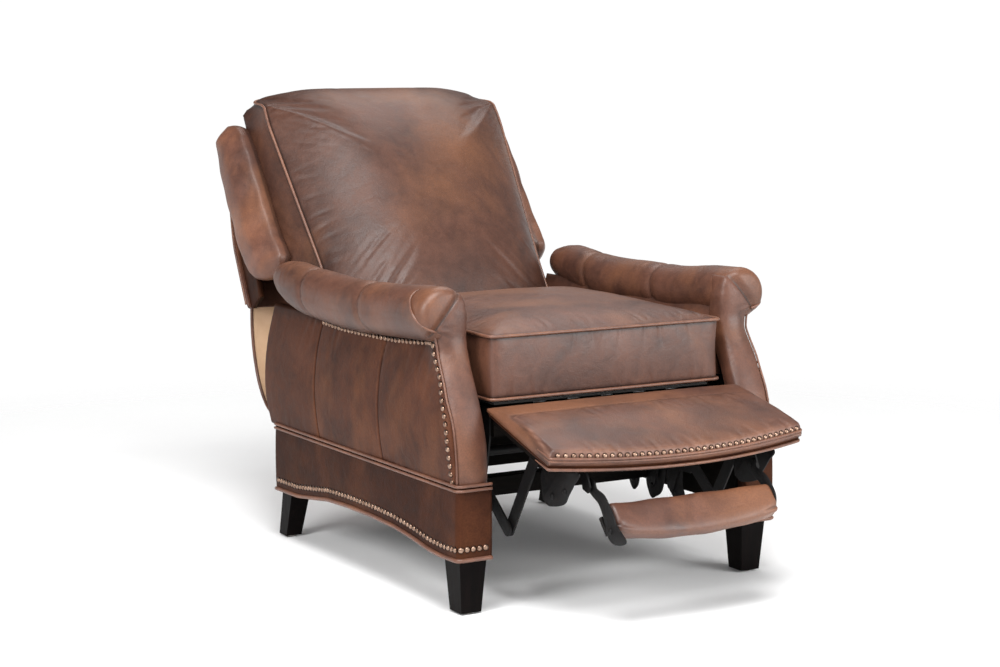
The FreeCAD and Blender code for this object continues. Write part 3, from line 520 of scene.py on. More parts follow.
def metal(name, colour, rust, rough, metallic=1.0, gloss=0.5):
    n = Nodes(bpy.data.materials.new(name))
    blotch = n.noise(120.0, 4.0, 0.6)
    scratch = n.noise(500.0, 2.0, 0.6, place=n.stretch(0.12, 1.0, 1.0))
    tint = n.mix(n.band(blotch, 0.4, 0.7), colour, rust)
    tint = n.mix(n.band(scratch, 0.55, 0.75, 0.0, 0.35), tint, tuple(min(1, 1.8 * c) for c in colour))
    n.shader.inputs["Metallic"].default_value = metallic
    return n.finish(tint, n.band(blotch, 0.3, 0.7, rough, rough + 0.2), n.raise_by(blotch, 0.0003, 0.3),
                    Specular_IOR_Level=gloss)


def brass(name, base=(0.40, 0.27, 0.20), dark=(0.15, 0.085, 0.058)):
    """Antique nail heads: blotched darker and rubbed brighter, each a little different, with a painted
    near-black shadow ring at the rim where each head meets the leather.
    """
    n = Nodes(bpy.data.materials.new(name))
    tone = n.attribute("tone")
    blotch = n.noise(380.0, 3.0, 0.6)
    rubbed = n.math("ADD", n.band(blotch, 0.35, 0.65), n.math("MULTIPLY", tone, 0.20), clamp=True)
    colour = n.mix(rubbed, dark, base)
    # tone below -1.6 is the painted shadow ring at the rim
    colour = n.mix(n.band(tone, -1.6, -2.6), colour, (0.012, 0.006, 0.004))
    n.shader.inputs["Metallic"].default_value = 1.0
    return n.finish(colour, n.band(blotch, 0.3, 0.7, 0.26, 0.46), n.raise_by(blotch, 0.0002, 0.3))


def cloth(name, colour, thread, scale=900.0):
    """Plain woven cloth."""
    n = Nodes(bpy.data.materials.new(name))
    warp = n.add("ShaderNodeTexWave", wave_type="BANDS", bands_direction="X")
    weft = n.add("ShaderNodeTexWave", wave_type="BANDS", bands_direction="DIAGONAL")
    for node in (warp, weft):
        n.link(n.place, node.inputs["Vector"])
        node.inputs["Scale"].default_value = scale
    weave = n.math("MAXIMUM", warp.outputs["Fac"], weft.outputs["Fac"])
    tint = n.mix(n.band(weave, 0.2, 0.8), colour, thread)
    tint = n.mix(n.band(n.noise(12.0, 3.0, 0.6), 0.3, 0.7, 0.0, 0.35), tint, tuple(0.6 * c for c in colour))
    return n.finish(tint, 0.85, n.raise_by(weave, 0.0004, 0.5), Specular_IOR_Level=0.25, Sheen_Weight=0.2)


HIDE = leather("leather_main")
# A darker, less glossy copy of the leather for the arms' outer panels: painted shade on these sides.
HIDE_SIDE_SHADED = leather("leather_side_painted_shade", brightness=0.74, redness=1.06, gloss=0.08)
# A much darker, redder copy of the leather: painted shade for the skirts, rear apron, sides of the outside
# back and the footrest's border band.
HIDE_SHADED = leather("leather_skirt_painted_shade", brightness=0.38, redness=1.16, gloss=0.05)
# A darker copy of the leather for the back cushion: painted shade that tones down how brightly the back is
# lit.
HIDE_BACK_SHADED = leather("leather_back_painted_shade", brightness=0.74, redness=1.0, patch=6.0, rough=0.42, gloss=0.36)
# A lighter copy of the leather for the wings: painted light, as if lit strongly from the left.
HIDE_WING_LIT = leather("leather_wing_painted_light", brightness=1.35)
HIDE_SEAT = leather("leather_seat", brightness=1.0, redness=0.98, patch=6.0, rough=0.44)
# A slightly lighter copy of the leather for the piping, adding to its painted highlight.
HIDE_WELT = leather("leather_welt", brightness=1.05, redness=1.02, patch=16.0, rough=0.40)
SUEDE = suede("suede_inside")
ESPRESSO = wood("espresso_wood", (0.0045, 0.0022, 0.0020), (0.0016, 0.0010, 0.0009), 0.40)
# Frame timber stained nearly black: partly a dark stain, partly painted shade for the hidden frame under the
# seat.
FRAME_WOOD = wood("frame_wood", (0.0070, 0.0052, 0.0042), (0.0032, 0.0026, 0.0022), 0.60,
                  along=(0.06, 1.0, 1.0))
STEEL = metal("black_steel", (0.0045, 0.0045, 0.0050), (0.0090, 0.0070, 0.0064), 0.42, 0.0, gloss=0.18)
WIRE = metal("spring_wire", (0.11, 0.11, 0.115), (0.07, 0.055, 0.045), 0.35)
BRASS = brass("nail_brass")
DECK = cloth("deck_cloth", (0.012, 0.0115, 0.011), (0.022, 0.021, 0.020))
JUTE = cloth("webbing_cloth", (0.30, 0.22, 0.13), (0.42, 0.33, 0.21), 500.0)
GLIDE = metal("glide_nickel", (0.35, 0.33, 0.30), (0.12, 0.10, 0.09), 0.35)


# ------------------------------------------------------------------ base: skirt, apron, legs

SKIRT_TOP = 0.256
SKIRT_X, SKIRT_INNER_X = 0.380, 0.306
SKIRT_FRONT, SKIRT_BACK = -0.020, 0.800
SKIRT_THICK = 0.026
SKIRT_DEPTHS = [-0.024, 0.039, 0.094, 0.160, 0.237, 0.337, 0.442, 0.539, 0.607, 0.687, 0.80]
SKIRT_LOWS = [0.114, 0.112, 0.115, 0.125, 0.133, 0.1365, 0.1365, 0.133, 0.124, 0.114, 0.112]


def skirt_route():
    """Plan of the skirt's outer face: across the front, round the corner and back: (x, depth)."""
    corner = 0.010
    turn = np.linspace(0, math.pi / 2, 7)
    front_x = np.linspace(SKIRT_INNER_X, SKIRT_X - corner, 12)[:-1]
    bend = np.stack([SKIRT_X - corner + corner * np.sin(turn), SKIRT_FRONT + corner * (1 - np.cos(turn))], 1)
    back = np.linspace(SKIRT_FRONT + corner, SKIRT_BACK, 170)[1:]
    return np.vstack([np.stack([front_x, np.full(len(front_x), SKIRT_FRONT)], 1), bend,
                      np.stack([np.full(len(back), SKIRT_X), back], 1)])


def skirt_low(depth):
    return ease(depth, SKIRT_DEPTHS, SKIRT_LOWS, 0.012)


def make_skirt(side_name, side):
    route = skirt_route()
    outward = outward_of(route)
    low = skirt_low(route[:, 1])
    # heights run down the outer face, round under the edge and up the inner face
    outer_drop = np.concatenate([[0, 0.02], np.linspace(0.08, 0.92, 12), [0.97]])
    rings = []
    tones = []
    for (x, depth), (out_x, out_y), bottom in zip(route, outward, low):
        tall = SKIRT_TOP - bottom
        puff = 0.0022 * np.sin(np.pi * np.clip(outer_drop, 0, 1)) ** 0.6
        points = [(x + out_x * p, depth + out_y * p, SKIRT_TOP - tall * d) for d, p in zip(outer_drop, puff)]
        for push, lift in ((0.0005, 0.002), (-0.003, 0.0), (-0.018, 0.0), (-0.024, 0.004),
                           (-SKIRT_THICK, 0.02)):
            points.append((x + out_x * push, depth + out_y * push, bottom + lift))
        points.append((x - SKIRT_THICK * out_x, depth - SKIRT_THICK * out_y, SKIRT_TOP - 0.004))
        points.append((x - 0.012 * out_x, depth - 0.012 * out_y, SKIRT_TOP))
        rings.append(points)
        # the top point of each ring gets tone -0.45: painted shade just under the skirt's welts
        tones.append([-0.45] + [0.0] * (len(points) - 1))
    shape = Shape().rings(on_base(*np.moveaxis(np.array(rings), -1, 0)), tone=np.array(tones))
    shape = shape if side > 0 else shape.mirrored()
    fix_normals(shape.make(f"skirt_leather_{side_name}", HIDE_SHADED, "base", [f"skirt_{side_name}"]))

    cords = Shape()
    for height, radius, push, tone in ((0.2515, 0.0030, 0.0026, 0.30), (0.2600, 0.0032, 0.0018, 0.30),
                                       (low + 0.0015, 0.0042, 0.0015, 0.32)):
        path = np.column_stack([route + outward * push, np.broadcast_to(height, len(route))])
        cords.tube(on_base(*smooth_line(path, 0.004).T), radius, tone=tone)
    cords = cords if side > 0 else cords.mirrored()
    fix_normals(cords.make(f"skirt_welts_{side_name}", HIDE_WELT, "base"))


def make_skirt_nails():
    shape = Shape()
    route = skirt_route()
    outward = outward_of(route)
    line = np.column_stack([route + outward * 0.0019, skirt_low(route[:, 1]) + 0.0225])
    spaced = smooth_line(line, 0.0137)[1:-1]
    for _, side in SIDES:
        for x, depth, z in spaced:
            near = np.argmin(np.sum((route - (x, depth)) ** 2, 1))
            out = outward[near]
            shape.domes([on_base(x * side, depth, z)], [np.array([out[0] * side, out[1], 0.0])])
    shape.make("skirt_nailheads", BRASS, "base", ["skirt_nails"], slot="nail_brass")


def make_apron():
    u, v, lift = rimmed_grid((0.706, 0.012, 0.004), (0.143, 0.012, 0.004))
    x = (u - 0.5) * 0.706
    z = 0.113 + v * 0.143
    puff = 0.004 * np.sin(np.pi * u) ** 0.5 * np.sin(np.pi * v) ** 0.7
    front = on_base(x, 0.796 + 0.004 * lift + puff, z)
    rear = on_base(x, np.full_like(x, 0.785), z)
    shape = Shape().slab(front, rear)
    fix_normals(shape.make("rear_apron_leather", HIDE_SHADED, "base", ["rear_apron"]))
    cords = Shape()
    for height, radius in ((0.2515, 0.0030), (0.2600, 0.0032), (0.1150, 0.0042)):
        cords.tube(on_base(np.linspace(-0.378, 0.378, 190), 0.8022, height), radius, tone=0.3)
    fix_normals(cords.make("rear_apron_welts", HIDE_WELT, "base"))
    nails = Shape()
    xs = np.arange(-0.345, 0.346, 0.0138)
    nails.domes(on_base(xs, 0.8010, 0.1365), np.tile((0.0, 1.0, 0.0), (len(xs), 1)))
    nails.make("rear_apron_nailheads", BRASS, "base", slot="nail_brass")


# ------------------------------------------------------------------ arms

PIPE_Z = [0.256, 0.299, 0.334, 0.365, 0.390, 0.423, 0.453, 0.482, 0.507, 0.535, 0.553]
PIPE_DEPTH = [-0.010, -0.009, -0.005, 0.001, 0.010, 0.028, 0.041, 0.059, 0.073, 0.076, 0.070]
FACE_Z = [0.256, 0.300, 0.340, 0.380, 0.420, 0.450, 0.480, 0.510, 0.535, 0.560, 0.590, 0.612, 0.630]
FACE_DEPTH = [-0.018, -0.0175, -0.013, 0.000, 0.017, 0.032, 0.047, 0.059, 0.064, 0.0615, 0.061, 0.068, 0.088]
SIDE_Z = [0.256, 0.280, 0.320, 0.360, 0.400, 0.440, 0.470, 0.490, 0.510, 0.525]
SIDE_X = [0.3765, 0.3805, 0.3845, 0.3855, 0.3825, 0.3765, 0.3695, 0.3630, 0.3560, 0.3520]
REAR_Z = [0.255, 0.305, 0.378, 0.486, 0.530]
REAR_DEPTH = [0.829, 0.843, 0.847, 0.852, 0.860]
PANEL_SEAMS = (0.312, 0.604)
ROLL_X = 0.360
ROLL_DEPTH = [0.06, 0.10, 0.184, 0.281, 0.382, 0.487, 0.596, 0.660, 0.710, 0.750, 0.780, 0.798, 0.806]
ROLL_Z = [0.5815, 0.5805, 0.5765, 0.5680, 0.5655, 0.5645, 0.5680, 0.5745, 0.5825, 0.5870, 0.5905, 0.594,
          0.595]
ROLL_RADIUS = [0.0545, 0.0545, 0.0545, 0.0540, 0.0537, 0.0545, 0.0535, 0.0520, 0.0495, 0.0425, 0.0320,
               0.0190, 0.008]
SEAM_FOOT = np.array([0.380, 0.553])


def side_x(depth, z):
    """Outer face of the arm: hollow under the roll, but less so at its front edge."""
    x = ease(z, SIDE_Z, SIDE_X, 0.014)
    front = 1 - step_up(depth - ease(z, PIPE_Z, PIPE_DEPTH, 0.01), 0.0, 0.075)
    return x + front * np.maximum(0.3725 - x, 0)


def panel_place(depth, z):
    """Depth counted along the panel's upright seams, which lean forward towards the skirt."""
    return np.asarray(depth, float) + 0.075 * (0.52 - np.asarray(z, float))


def panel_puff(depth, z):
    """How far the padding stands out between the two upright seams."""
    depth = panel_place(depth, z)
    edges = (-0.02,) + PANEL_SEAMS + (0.89,)
    puff = np.zeros_like(depth)
    for low, high in zip(edges[:-1], edges[1:]):
        part = np.clip((depth - low) / (high - low), 0, 1)
        puff += np.where((depth >= low) & (depth < high), 0.0032 * np.sin(np.pi * part) ** 0.55, 0)
    return puff


def arm_outer_panel(seed):
    heights, lift_v = rim(0.268, 0.007, 0.006)
    widths, lift_u = rim(0.85, 0.007, 0.008)
    extra = np.concatenate([np.linspace(seam / 0.85 - 0.042, seam / 0.85 + 0.012,
                                        46) for seam in PANEL_SEAMS])
    widths, marks = np.unique(np.concatenate([widths, extra]), return_index=True)
    lift_u = np.concatenate([lift_u, np.ones(len(extra))])[marks]
    u, v = np.meshgrid(widths, heights, indexing="ij")
    lift = lift_u[:, None] * lift_v[None, :]
    z = 0.256 + 0.268 * v
    start = ease(z, PIPE_Z, PIPE_DEPTH, 0.01) + 0.003
    end = ease(z, REAR_Z, REAR_DEPTH, 0.02)
    depth = start + (end - start) * u
    x = side_x(depth, z)
    puff = panel_puff(depth, z)
    tone = np.zeros_like(x)
    # painted shade in each upright seam's groove and a painted highlight on its raised lip
    for seam in PANEL_SEAMS:
        line = panel_place(depth, z) - seam
        puff -= 0.0018 * bump(line, 0.0034)
        tone -= 0.75 * bump(line, 0.0020)
        tone += 0.24 * bump(line - 0.006, 0.003)
    # painted shade along the top, under the roll, and along the bottom above the skirt's welts
    tone -= 0.55 * step_up(z, 0.495, 0.524)
    tone -= 0.30 * (1 - step_up(z, 0.258, 0.268))
    ripple = np.zeros_like(x)
    draw = np.random.default_rng(seed)
    for _ in range(9):
        where = draw.uniform(0.05, 0.8)
        high = draw.uniform(0.42, 0.53)
        ripple += crease(depth, z, (where, 0.53), (where + draw.uniform(-0.03, 0.03), high - 0.06), 0.006,
                         0.0011)
    for _ in range(7):
        where = draw.uniform(0.03, 0.8)
        ripple += crease(depth, z, (where, 0.256), (where + draw.uniform(-0.03, 0.03), 0.31), 0.006, 0.0008)
    x = x + (puff + ripple) * lift - 0.008 * (1 - lift)
    front = on_base(x, depth, z)
    rear = on_base(np.full_like(x, 0.3405), depth, z)
    warm = 0.6 * bump(depth - 0.20, 0.07) * bump(z - 0.38, 0.10) - 0.5 * bump(depth - 0.75, 0.10)
    return Shape().slab(front, rear, tone, warm)


def arm_front_rings():
    """Leather of the arm's front: from the skirt up to a narrow tongue over the inside of the roll."""
    rings = []
    levels = np.concatenate([np.linspace(0.258, 0.53, 52), np.linspace(0.535, 0.619, 22)])
    for z in levels:
        pipe = float(ease(z, PIPE_Z, PIPE_DEPTH, 0.006))
        face = float(ease(z, FACE_Z, FACE_DEPTH, 0.008))
        outer = float(np.interp(z, [0.256, 0.42, 0.46, 0.49, 0.51, 0.53, 0.553, 0.575, 0.60, 0.616, 0.62],
                                [0.3755, 0.377, 0.375, 0.3725, 0.371, 0.3735, 0.380, 0.3635, 0.3430, 0.3300,
                                 0.326]))
        inner = float(ease(z, [0.256, 0.30, 0.53, 0.579, 0.60, 0.61, 0.625],
                           [0.304, 0.3035, 0.3035, 0.3035, 0.3075, 0.3115, 0.322], 0.004))
        pipe = min(pipe, 0.070) if z > 0.553 else pipe
        width = outer - inner
        soft = min(0.020, 0.45 * width)
        back = max(face + 0.050, pipe + 0.02)
        if z > 0.545:
            pipe = face + 0.004
        loop = [
            (outer - 0.001, pipe + 0.004), (outer - 0.0035, pipe - 0.001),
            (outer - 0.012 * width / 0.072, 0.45 * pipe + 0.55 * face - 0.0005),
            (outer - 0.40 * width, face), (inner + 1.25 * soft, face + 0.0005),
            (inner + 0.55 * soft, face + 0.22 * soft), (inner + 0.16 * soft, face + 0.60 * soft),
            (inner, face + 1.3 * soft), (inner, back - 0.010), (inner + 0.006, back),
            (outer - 0.25 * width, back), (outer - 0.002, max(pipe + 0.014, back - 0.02)),
        ]
        loop = smooth_line([(a, b, 0) for a, b in loop], 0.0009, closed=True)
        ring = np.stack([np.interp(np.linspace(0, len(loop), 72, endpoint=False), np.arange(len(loop) + 1),
                                   np.append(loop[:, k], loop[0, k])) for k in range(2)], 1)
        rings.append(np.column_stack([ring, np.full(72, z)]))
    rings = np.array(rings)
    x, depth, z = rings[..., 0], rings[..., 1], rings[..., 2]
    facing = 1 - step_up(depth - ease(z, FACE_Z, FACE_DEPTH, 0.008), 0.004, 0.022)
    fold = (crease(x, z, (0.377, 0.549), (0.340, 0.534), 0.0030, 0.0022)
            + crease(x, z, (0.377, 0.545), (0.350, 0.515), 0.0032, 0.0018)
            + crease(x, z, (0.372, 0.556), (0.338, 0.556), 0.0028, 0.0014)
            + crease(x, z, (0.304, 0.50), (0.335, 0.47), 0.004, 0.0008)
            + crease(x, z, (0.374, 0.30), (0.335, 0.305), 0.005, 0.0007))
    rings[..., 1] = depth - fold * facing
    # painted shade along the piping's edge, in the folds (scaled from their depth) and in the slanting seam
    # at the roll's end
    tone = -0.45 * bump(x - 0.3775, 0.002) * step_up(0.55 - z, 0, 0.02)
    tone = tone + 0.9 * np.minimum(fold * facing * 220, 0)
    seam_gap = np.abs((x - SEAM_FOOT[0]) * 0.772 + (z - SEAM_FOOT[1]) * 0.636)
    tone = tone - 0.7 * bump(seam_gap, 0.0018) * (z > 0.55)
    warm = 0.5 * bump(z - 0.33, 0.05) + 0.5 * bump(z - 0.50, 0.03)
    return Shape().rings(on_base(x, rings[..., 1], z), tone, warm)


def roll_ring(depth, centre, radius, turn):
    return np.stack([ROLL_X + radius * 1.01 * np.cos(turn), np.full_like(turn, depth),
                     centre + radius * np.sin(turn)], -1)


def arm_roll(seed):
    draw = np.random.default_rng(seed)
    turn = np.linspace(0, 2 * math.pi, 72, endpoint=False)
    depths = np.concatenate([np.linspace(0.088, 0.70, 150), np.linspace(0.704, 0.806, 34)])
    cap = 0.021
    rings = []
    for share in (0.06, 0.2, 0.38, 0.56, 0.74, 0.9):
        radius = (0.0545 - cap) * share
        rings.append(roll_ring(0.0672 - 0.0025 * (1 - share ** 2), 0.5812, radius, turn))
    for angle in np.linspace(0, math.pi / 2, 9):
        rings.append(roll_ring(0.0672 + cap * (1 - math.cos(angle)), 0.5812,
                               0.0545 - cap * (1 - math.sin(angle)), turn))
    for depth in depths[1:]:
        centre = float(ease(depth, ROLL_DEPTH, ROLL_Z, 0.022 if depth < 0.7 else 0.006))
        radius = float(ease(depth, ROLL_DEPTH, ROLL_RADIUS, 0.022 if depth < 0.7 else 0.004))
        rings.append(roll_ring(depth, centre, radius, turn))
    rings = np.array(rings)
    x, depth, z = rings[..., 0].copy(), rings[..., 1].copy(), rings[..., 2].copy()
    # the rounded end outside the slanting seam is stuffed further out than the rest
    past_seam = (x - SEAM_FOOT[0]) * 0.772 + (z - SEAM_FOOT[1]) * 0.636
    bulge = 0.0075 * (1 - bump(np.maximum(past_seam, 0), 0.010)) * (1 - step_up(depth, 0.070, 0.100))
    rings[..., 1] -= bulge
    # painted shade in the slanting seam at the roll's front end
    tone = -0.85 * bump(past_seam, 0.0022) * (depth < 0.080)
    angle = np.broadcast_to(turn, x.shape)
    outward = np.stack([np.cos(angle), np.zeros_like(angle), np.sin(angle)], -1)
    swell = np.zeros_like(x)
    for where, lean in ((0.335, 0.016), (0.602, 0.02)):
        line = depth - where - lean * np.sin(angle)
        swell -= 0.0034 * bump(line, 0.011) + 0.0012 * bump(line, 0.0022)
        # painted shade in each cross seam and a painted highlight just beside it
        tone -= 0.45 * bump(line, 0.0018)
        tone += 0.10 * bump(np.abs(line) - 0.006, 0.003)
    for _ in range(16):
        where, tilt = draw.uniform(0.13, 0.74), draw.uniform(-0.05, 0.05)
        centre = draw.uniform(-0.6, 2.6)
        swell -= draw.uniform(0.0004, 0.0012) * bump(depth - where - tilt * (angle - centre),
                                                     0.006) * bump(angle - centre, 0.5)
    for _ in range(7):
        where = draw.uniform(0.70, 0.78)
        centre = draw.uniform(-0.8, 2.4)
        swell -= 0.0012 * bump(angle - centre - (depth - where) * 4, 0.10) * bump(depth - where, 0.03)
    swell += 0.0012 * np.sin(depth * 23 + angle * 1.3 + seed) * step_up(depth, 0.1, 0.2)
    behind_cap = step_up(depth, 0.088, 0.12)
    rings = rings + outward * (swell * behind_cap)[..., None]
    # painted shade on the underside of the roll and a painted highlight along its top
    under = bump(angle - 1.5 * math.pi, 0.75)
    tone -= 0.5 * under * behind_cap
    tone += 0.22 * bump(angle - 0.45 * math.pi, 0.5) * behind_cap
    warm = 0.5 * bump(depth - 0.09, 0.04)
    return Shape().rings(on_base(rings[..., 0], rings[..., 1], rings[..., 2]), tone, warm)


def roll_surface(depth, degrees, stand=0.0):
    angle = math.radians(degrees)
    radius = float(ease(depth, ROLL_DEPTH, ROLL_RADIUS, 0.02)) + stand
    centre = float(ease(depth, ROLL_DEPTH, ROLL_Z, 0.02))
    return (ROLL_X + radius * 1.01 * math.cos(angle), depth, centre + radius * math.sin(angle))


def arm_inner_panel():
    u, v, lift = rimmed_grid((0.69, 0.012, 0.008), (0.150, 0.010, 0.006))
    depth = 0.088 + 0.69 * u
    z = 0.412 + 0.150 * v
    x = ease(z, [0.41, 0.45, 0.485, 0.51, 0.535, 0.562], [0.2880, 0.2850, 0.2870, 0.2940, 0.3070, 0.3170],
             0.010)
    x = x + 0.006 * (1 - lift) + 0.0010 * np.sin(depth * 31) * lift
    # painted shade along the top, where the panel turns under the roll
    tone = -0.5 * step_up(z, 0.535, 0.560)
    return Shape().slab(on_base(x, depth, z), on_base(np.full_like(x, 0.3185), depth, z), tone)


def make_arms():
    nails = Shape()
    for side_name, side in SIDES:
        def turned(shape):
            return shape if side > 0 else shape.mirrored()

        seed = 3 if side > 0 else 11
        fix_normals(turned(arm_outer_panel(seed)).make(
            f"arm_side_leather_{side_name}", HIDE_SIDE_SHADED, "base", [f"arm_outer_panel_{side_name}"]))
        fix_normals(turned(arm_front_rings()).make(
            f"arm_front_leather_{side_name}", HIDE, "base", [f"arm_front_panel_{side_name}"]))
        roll = fix_normals(turned(arm_roll(seed)).make(
            f"arm_roll_leather_{side_name}", HIDE, "base", [f"arm_roll_{side_name}"]))
        fix_normals(turned(arm_inner_panel()).make(
            f"arm_inside_leather_{side_name}", HIDE, "base", [f"arm_inner_panel_{side_name}"]))
        cords = Shape()
        zs = np.linspace(0.262, 0.548, 90)
        pipe = on_base(ease(zs, [0.256, 0.42, 0.46, 0.49, 0.51, 0.53, 0.553],
                            [0.3765, 0.3780, 0.3760, 0.3735, 0.3720, 0.3745, 0.3800], 0.006),
                       ease(zs, PIPE_Z, PIPE_DEPTH, 0.006) - 0.0005, zs)
        lobe = [roll_surface(0.119, 62, 0.0005), roll_surface(0.1205, 48, 0.0012),
                roll_surface(0.117, 33, 0.0016),
                roll_surface(0.105, 17, 0.0016), roll_surface(0.091, 3, 0.0016), (0.4115, 0.0790, 0.5690),
                (0.4025, 0.0670, 0.5590), (0.3900, 0.0640, 0.5530), (0.3805, 0.0665, 0.5490)]
        cords.tube(pipe, 0.0022, tone=0.22)
        line = smooth_line(lobe, 0.003)
        size = 0.0026 * step_up(np.linspace(0, 1, len(line)), -0.05, 0.12)
        cords.tube(on_base(*line.T), np.maximum(size, 0.0008), tone=0.26)
        fix_normals(turned(cords).make(f"arm_piping_{side_name}", HIDE_WELT, "base"))
        row = smooth_line(np.column_stack([ease(np.linspace(0.266, 0.536, 60), PIPE_Z, PIPE_DEPTH, 0.008)
                                           + 0.0135,
                                           np.linspace(0.266, 0.536, 60)]), 0.0157)
        x = side_x(row[:, 0], row[:, 1]) + panel_puff(row[:, 0], row[:, 1])
        nails.domes(on_base(x * side, row[:, 0], row[:, 1]),
                    np.tile((side * 1.0, -0.12, -0.02), (len(row), 1)))
        under = np.arange(0.112, 0.60, 0.0157)
        z = ease(under, [0.09, 0.18, 0.28, 0.50, 0.60], [0.524, 0.514, 0.507, 0.504, 0.508], 0.02)
        x = side_x(under, z) + panel_puff(under, z)
        nails.domes(on_base(x * side, under, z), np.tile((side * 1.0, 0.0, -0.25), (len(under), 1)))
    nails.make("arm_nailheads", BRASS, "base", ["arm_nails"], slot="nail_brass")


# ------------------------------------------------------------------ cushions

VOXEL = 0.006
SIM_FRAMES = 20


def inflate(shape, name, seams, cap, pressure, keep_flat):
    """Stuff a closed form with cloth simulation, held along its seams, and return its new mesh."""
    raw = shape.make(name + "_raw", HIDE, None)
    fix_normals(raw)
    bpy.context.view_layer.update()
    remesh = raw.modifiers.new("remesh", "REMESH")
    remesh.mode, remesh.voxel_size = "VOXEL", VOXEL
    graph = bpy.context.evaluated_depsgraph_get()
    data = bpy.data.meshes.new_from_object(raw.evaluated_get(graph))
    bpy.data.objects.remove(raw)
    thing = place_object(name, data)
    start = mesh_points(data)
    held = np.maximum(np.clip(1.6 - near_line(start, seams) / 0.005, 0, 1), keep_flat(start))
    group = thing.vertex_groups.new(name="held")
    for index in np.where(held > 0.02)[0]:
        group.add([int(index)], float(held[index]), "REPLACE")
    sim = thing.modifiers.new("cloth", "CLOTH")
    sim.settings.vertex_group_mass = "held"
    sim.settings.use_pressure = True
    sim.settings.uniform_pressure_force = pressure
    sim.settings.effector_weights.gravity = 0.0
    sim.settings.mass = 0.35
    sim.settings.tension_stiffness = 22
    sim.settings.compression_stiffness = 12
    sim.settings.bending_stiffness = 0.9
    sim.settings.quality = 4
    sim.collision_settings.use_collision = False
    sim.point_cache.frame_start, sim.point_cache.frame_end = 1, SIM_FRAMES
    for number in range(1, SIM_FRAMES + 1):
        bpy.context.scene.frame_set(number)
    graph = bpy.context.evaluated_depsgraph_get()
    moved = mesh_points(thing.evaluated_get(graph).data)
    bpy.context.scene.frame_set(1)
    thing.modifiers.remove(sim)
    shift = moved - start
    far = np.linalg.norm(shift, axis=1, keepdims=True)
    start = start + shift * np.minimum(1, cap / np.maximum(far, 1e-9))
    data.vertices.foreach_set("co", start.astype(np.float32).reshape(-1))
    data.update()
    divide = thing.modifiers.new("divide", "SUBSURF")
    divide.levels = divide.render_levels = 1
    graph = bpy.context.evaluated_depsgraph_get()
    final = bpy.data.meshes.new_from_object(thing.evaluated_get(graph))
    bpy.data.objects.remove(thing)
    final.name = name
    final.materials.clear()
    return final


def finish_cushion(data, name, material, body, replaces, points, tone, warm):
    data.vertices.foreach_set("co", points.astype(np.float32).reshape(-1))
    write_tones(data, tone, warm)
    data.materials.append(material)
    data.update()
    thing = place_object(name, data)
    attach(thing, body)
    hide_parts(*replaces)


def near_line(points, lines, reach=0.03):
    """Distance of each point from the nearest of several lines of points, as far as reach."""
    gap = np.full(len(points), reach)
    for part in (line[low:low + 31] for line in lines for low in range(0, len(line), 30)):
        middle, wide = part.mean(0), np.ptp(part, axis=0).max() + reach
        close = np.where(np.linalg.norm(points - middle, axis=1) < wide)[0]
        if len(close):
            found = np.linalg.norm(points[close, None] - part[None], axis=2).min(1)
            gap[close] = np.minimum(gap[close], found)
    return gap


def rounded_plan(corners, radius, count):
    """A closed plan outline with rounded corners, evenly spaced."""
    corners = np.array(corners, float)
    points = []
    for before, corner, after in zip(np.roll(corners, 1, 0), corners, np.roll(corners, -1, 0)):
        a = (before - corner) / np.linalg.norm(before - corner)
        b = (after - corner) / np.linalg.norm(after - corner)
        for t in np.linspace(0, 1, 9):
            points.append(corner + a * radius * (1 - t) ** 2 + b * radius * t ** 2)
    return even_line(np.array(points + points[:1]), lambda length: count, endpoint=False)


SEAT_HALF, SEAT_FRONT, SEAT_LOW, SEAT_HIGH = 0.2750, 0.0325, 0.4125, 0.5365


def seat_seam(high, count=420):
    rear = 0.566 if high else 0.520
    plan = rounded_plan([(-SEAT_HALF, SEAT_FRONT), (SEAT_HALF, SEAT_FRONT), (SEAT_HALF - 0.004, rear),
                         (-SEAT_HALF + 0.004, rear)], 0.018, count)
    if high:
        z = SEAT_HIGH + 0.006 * step_up(plan[:, 1], 0.05, 0.3)
    else:
        z = np.full(count, SEAT_LOW)
    return plan, z


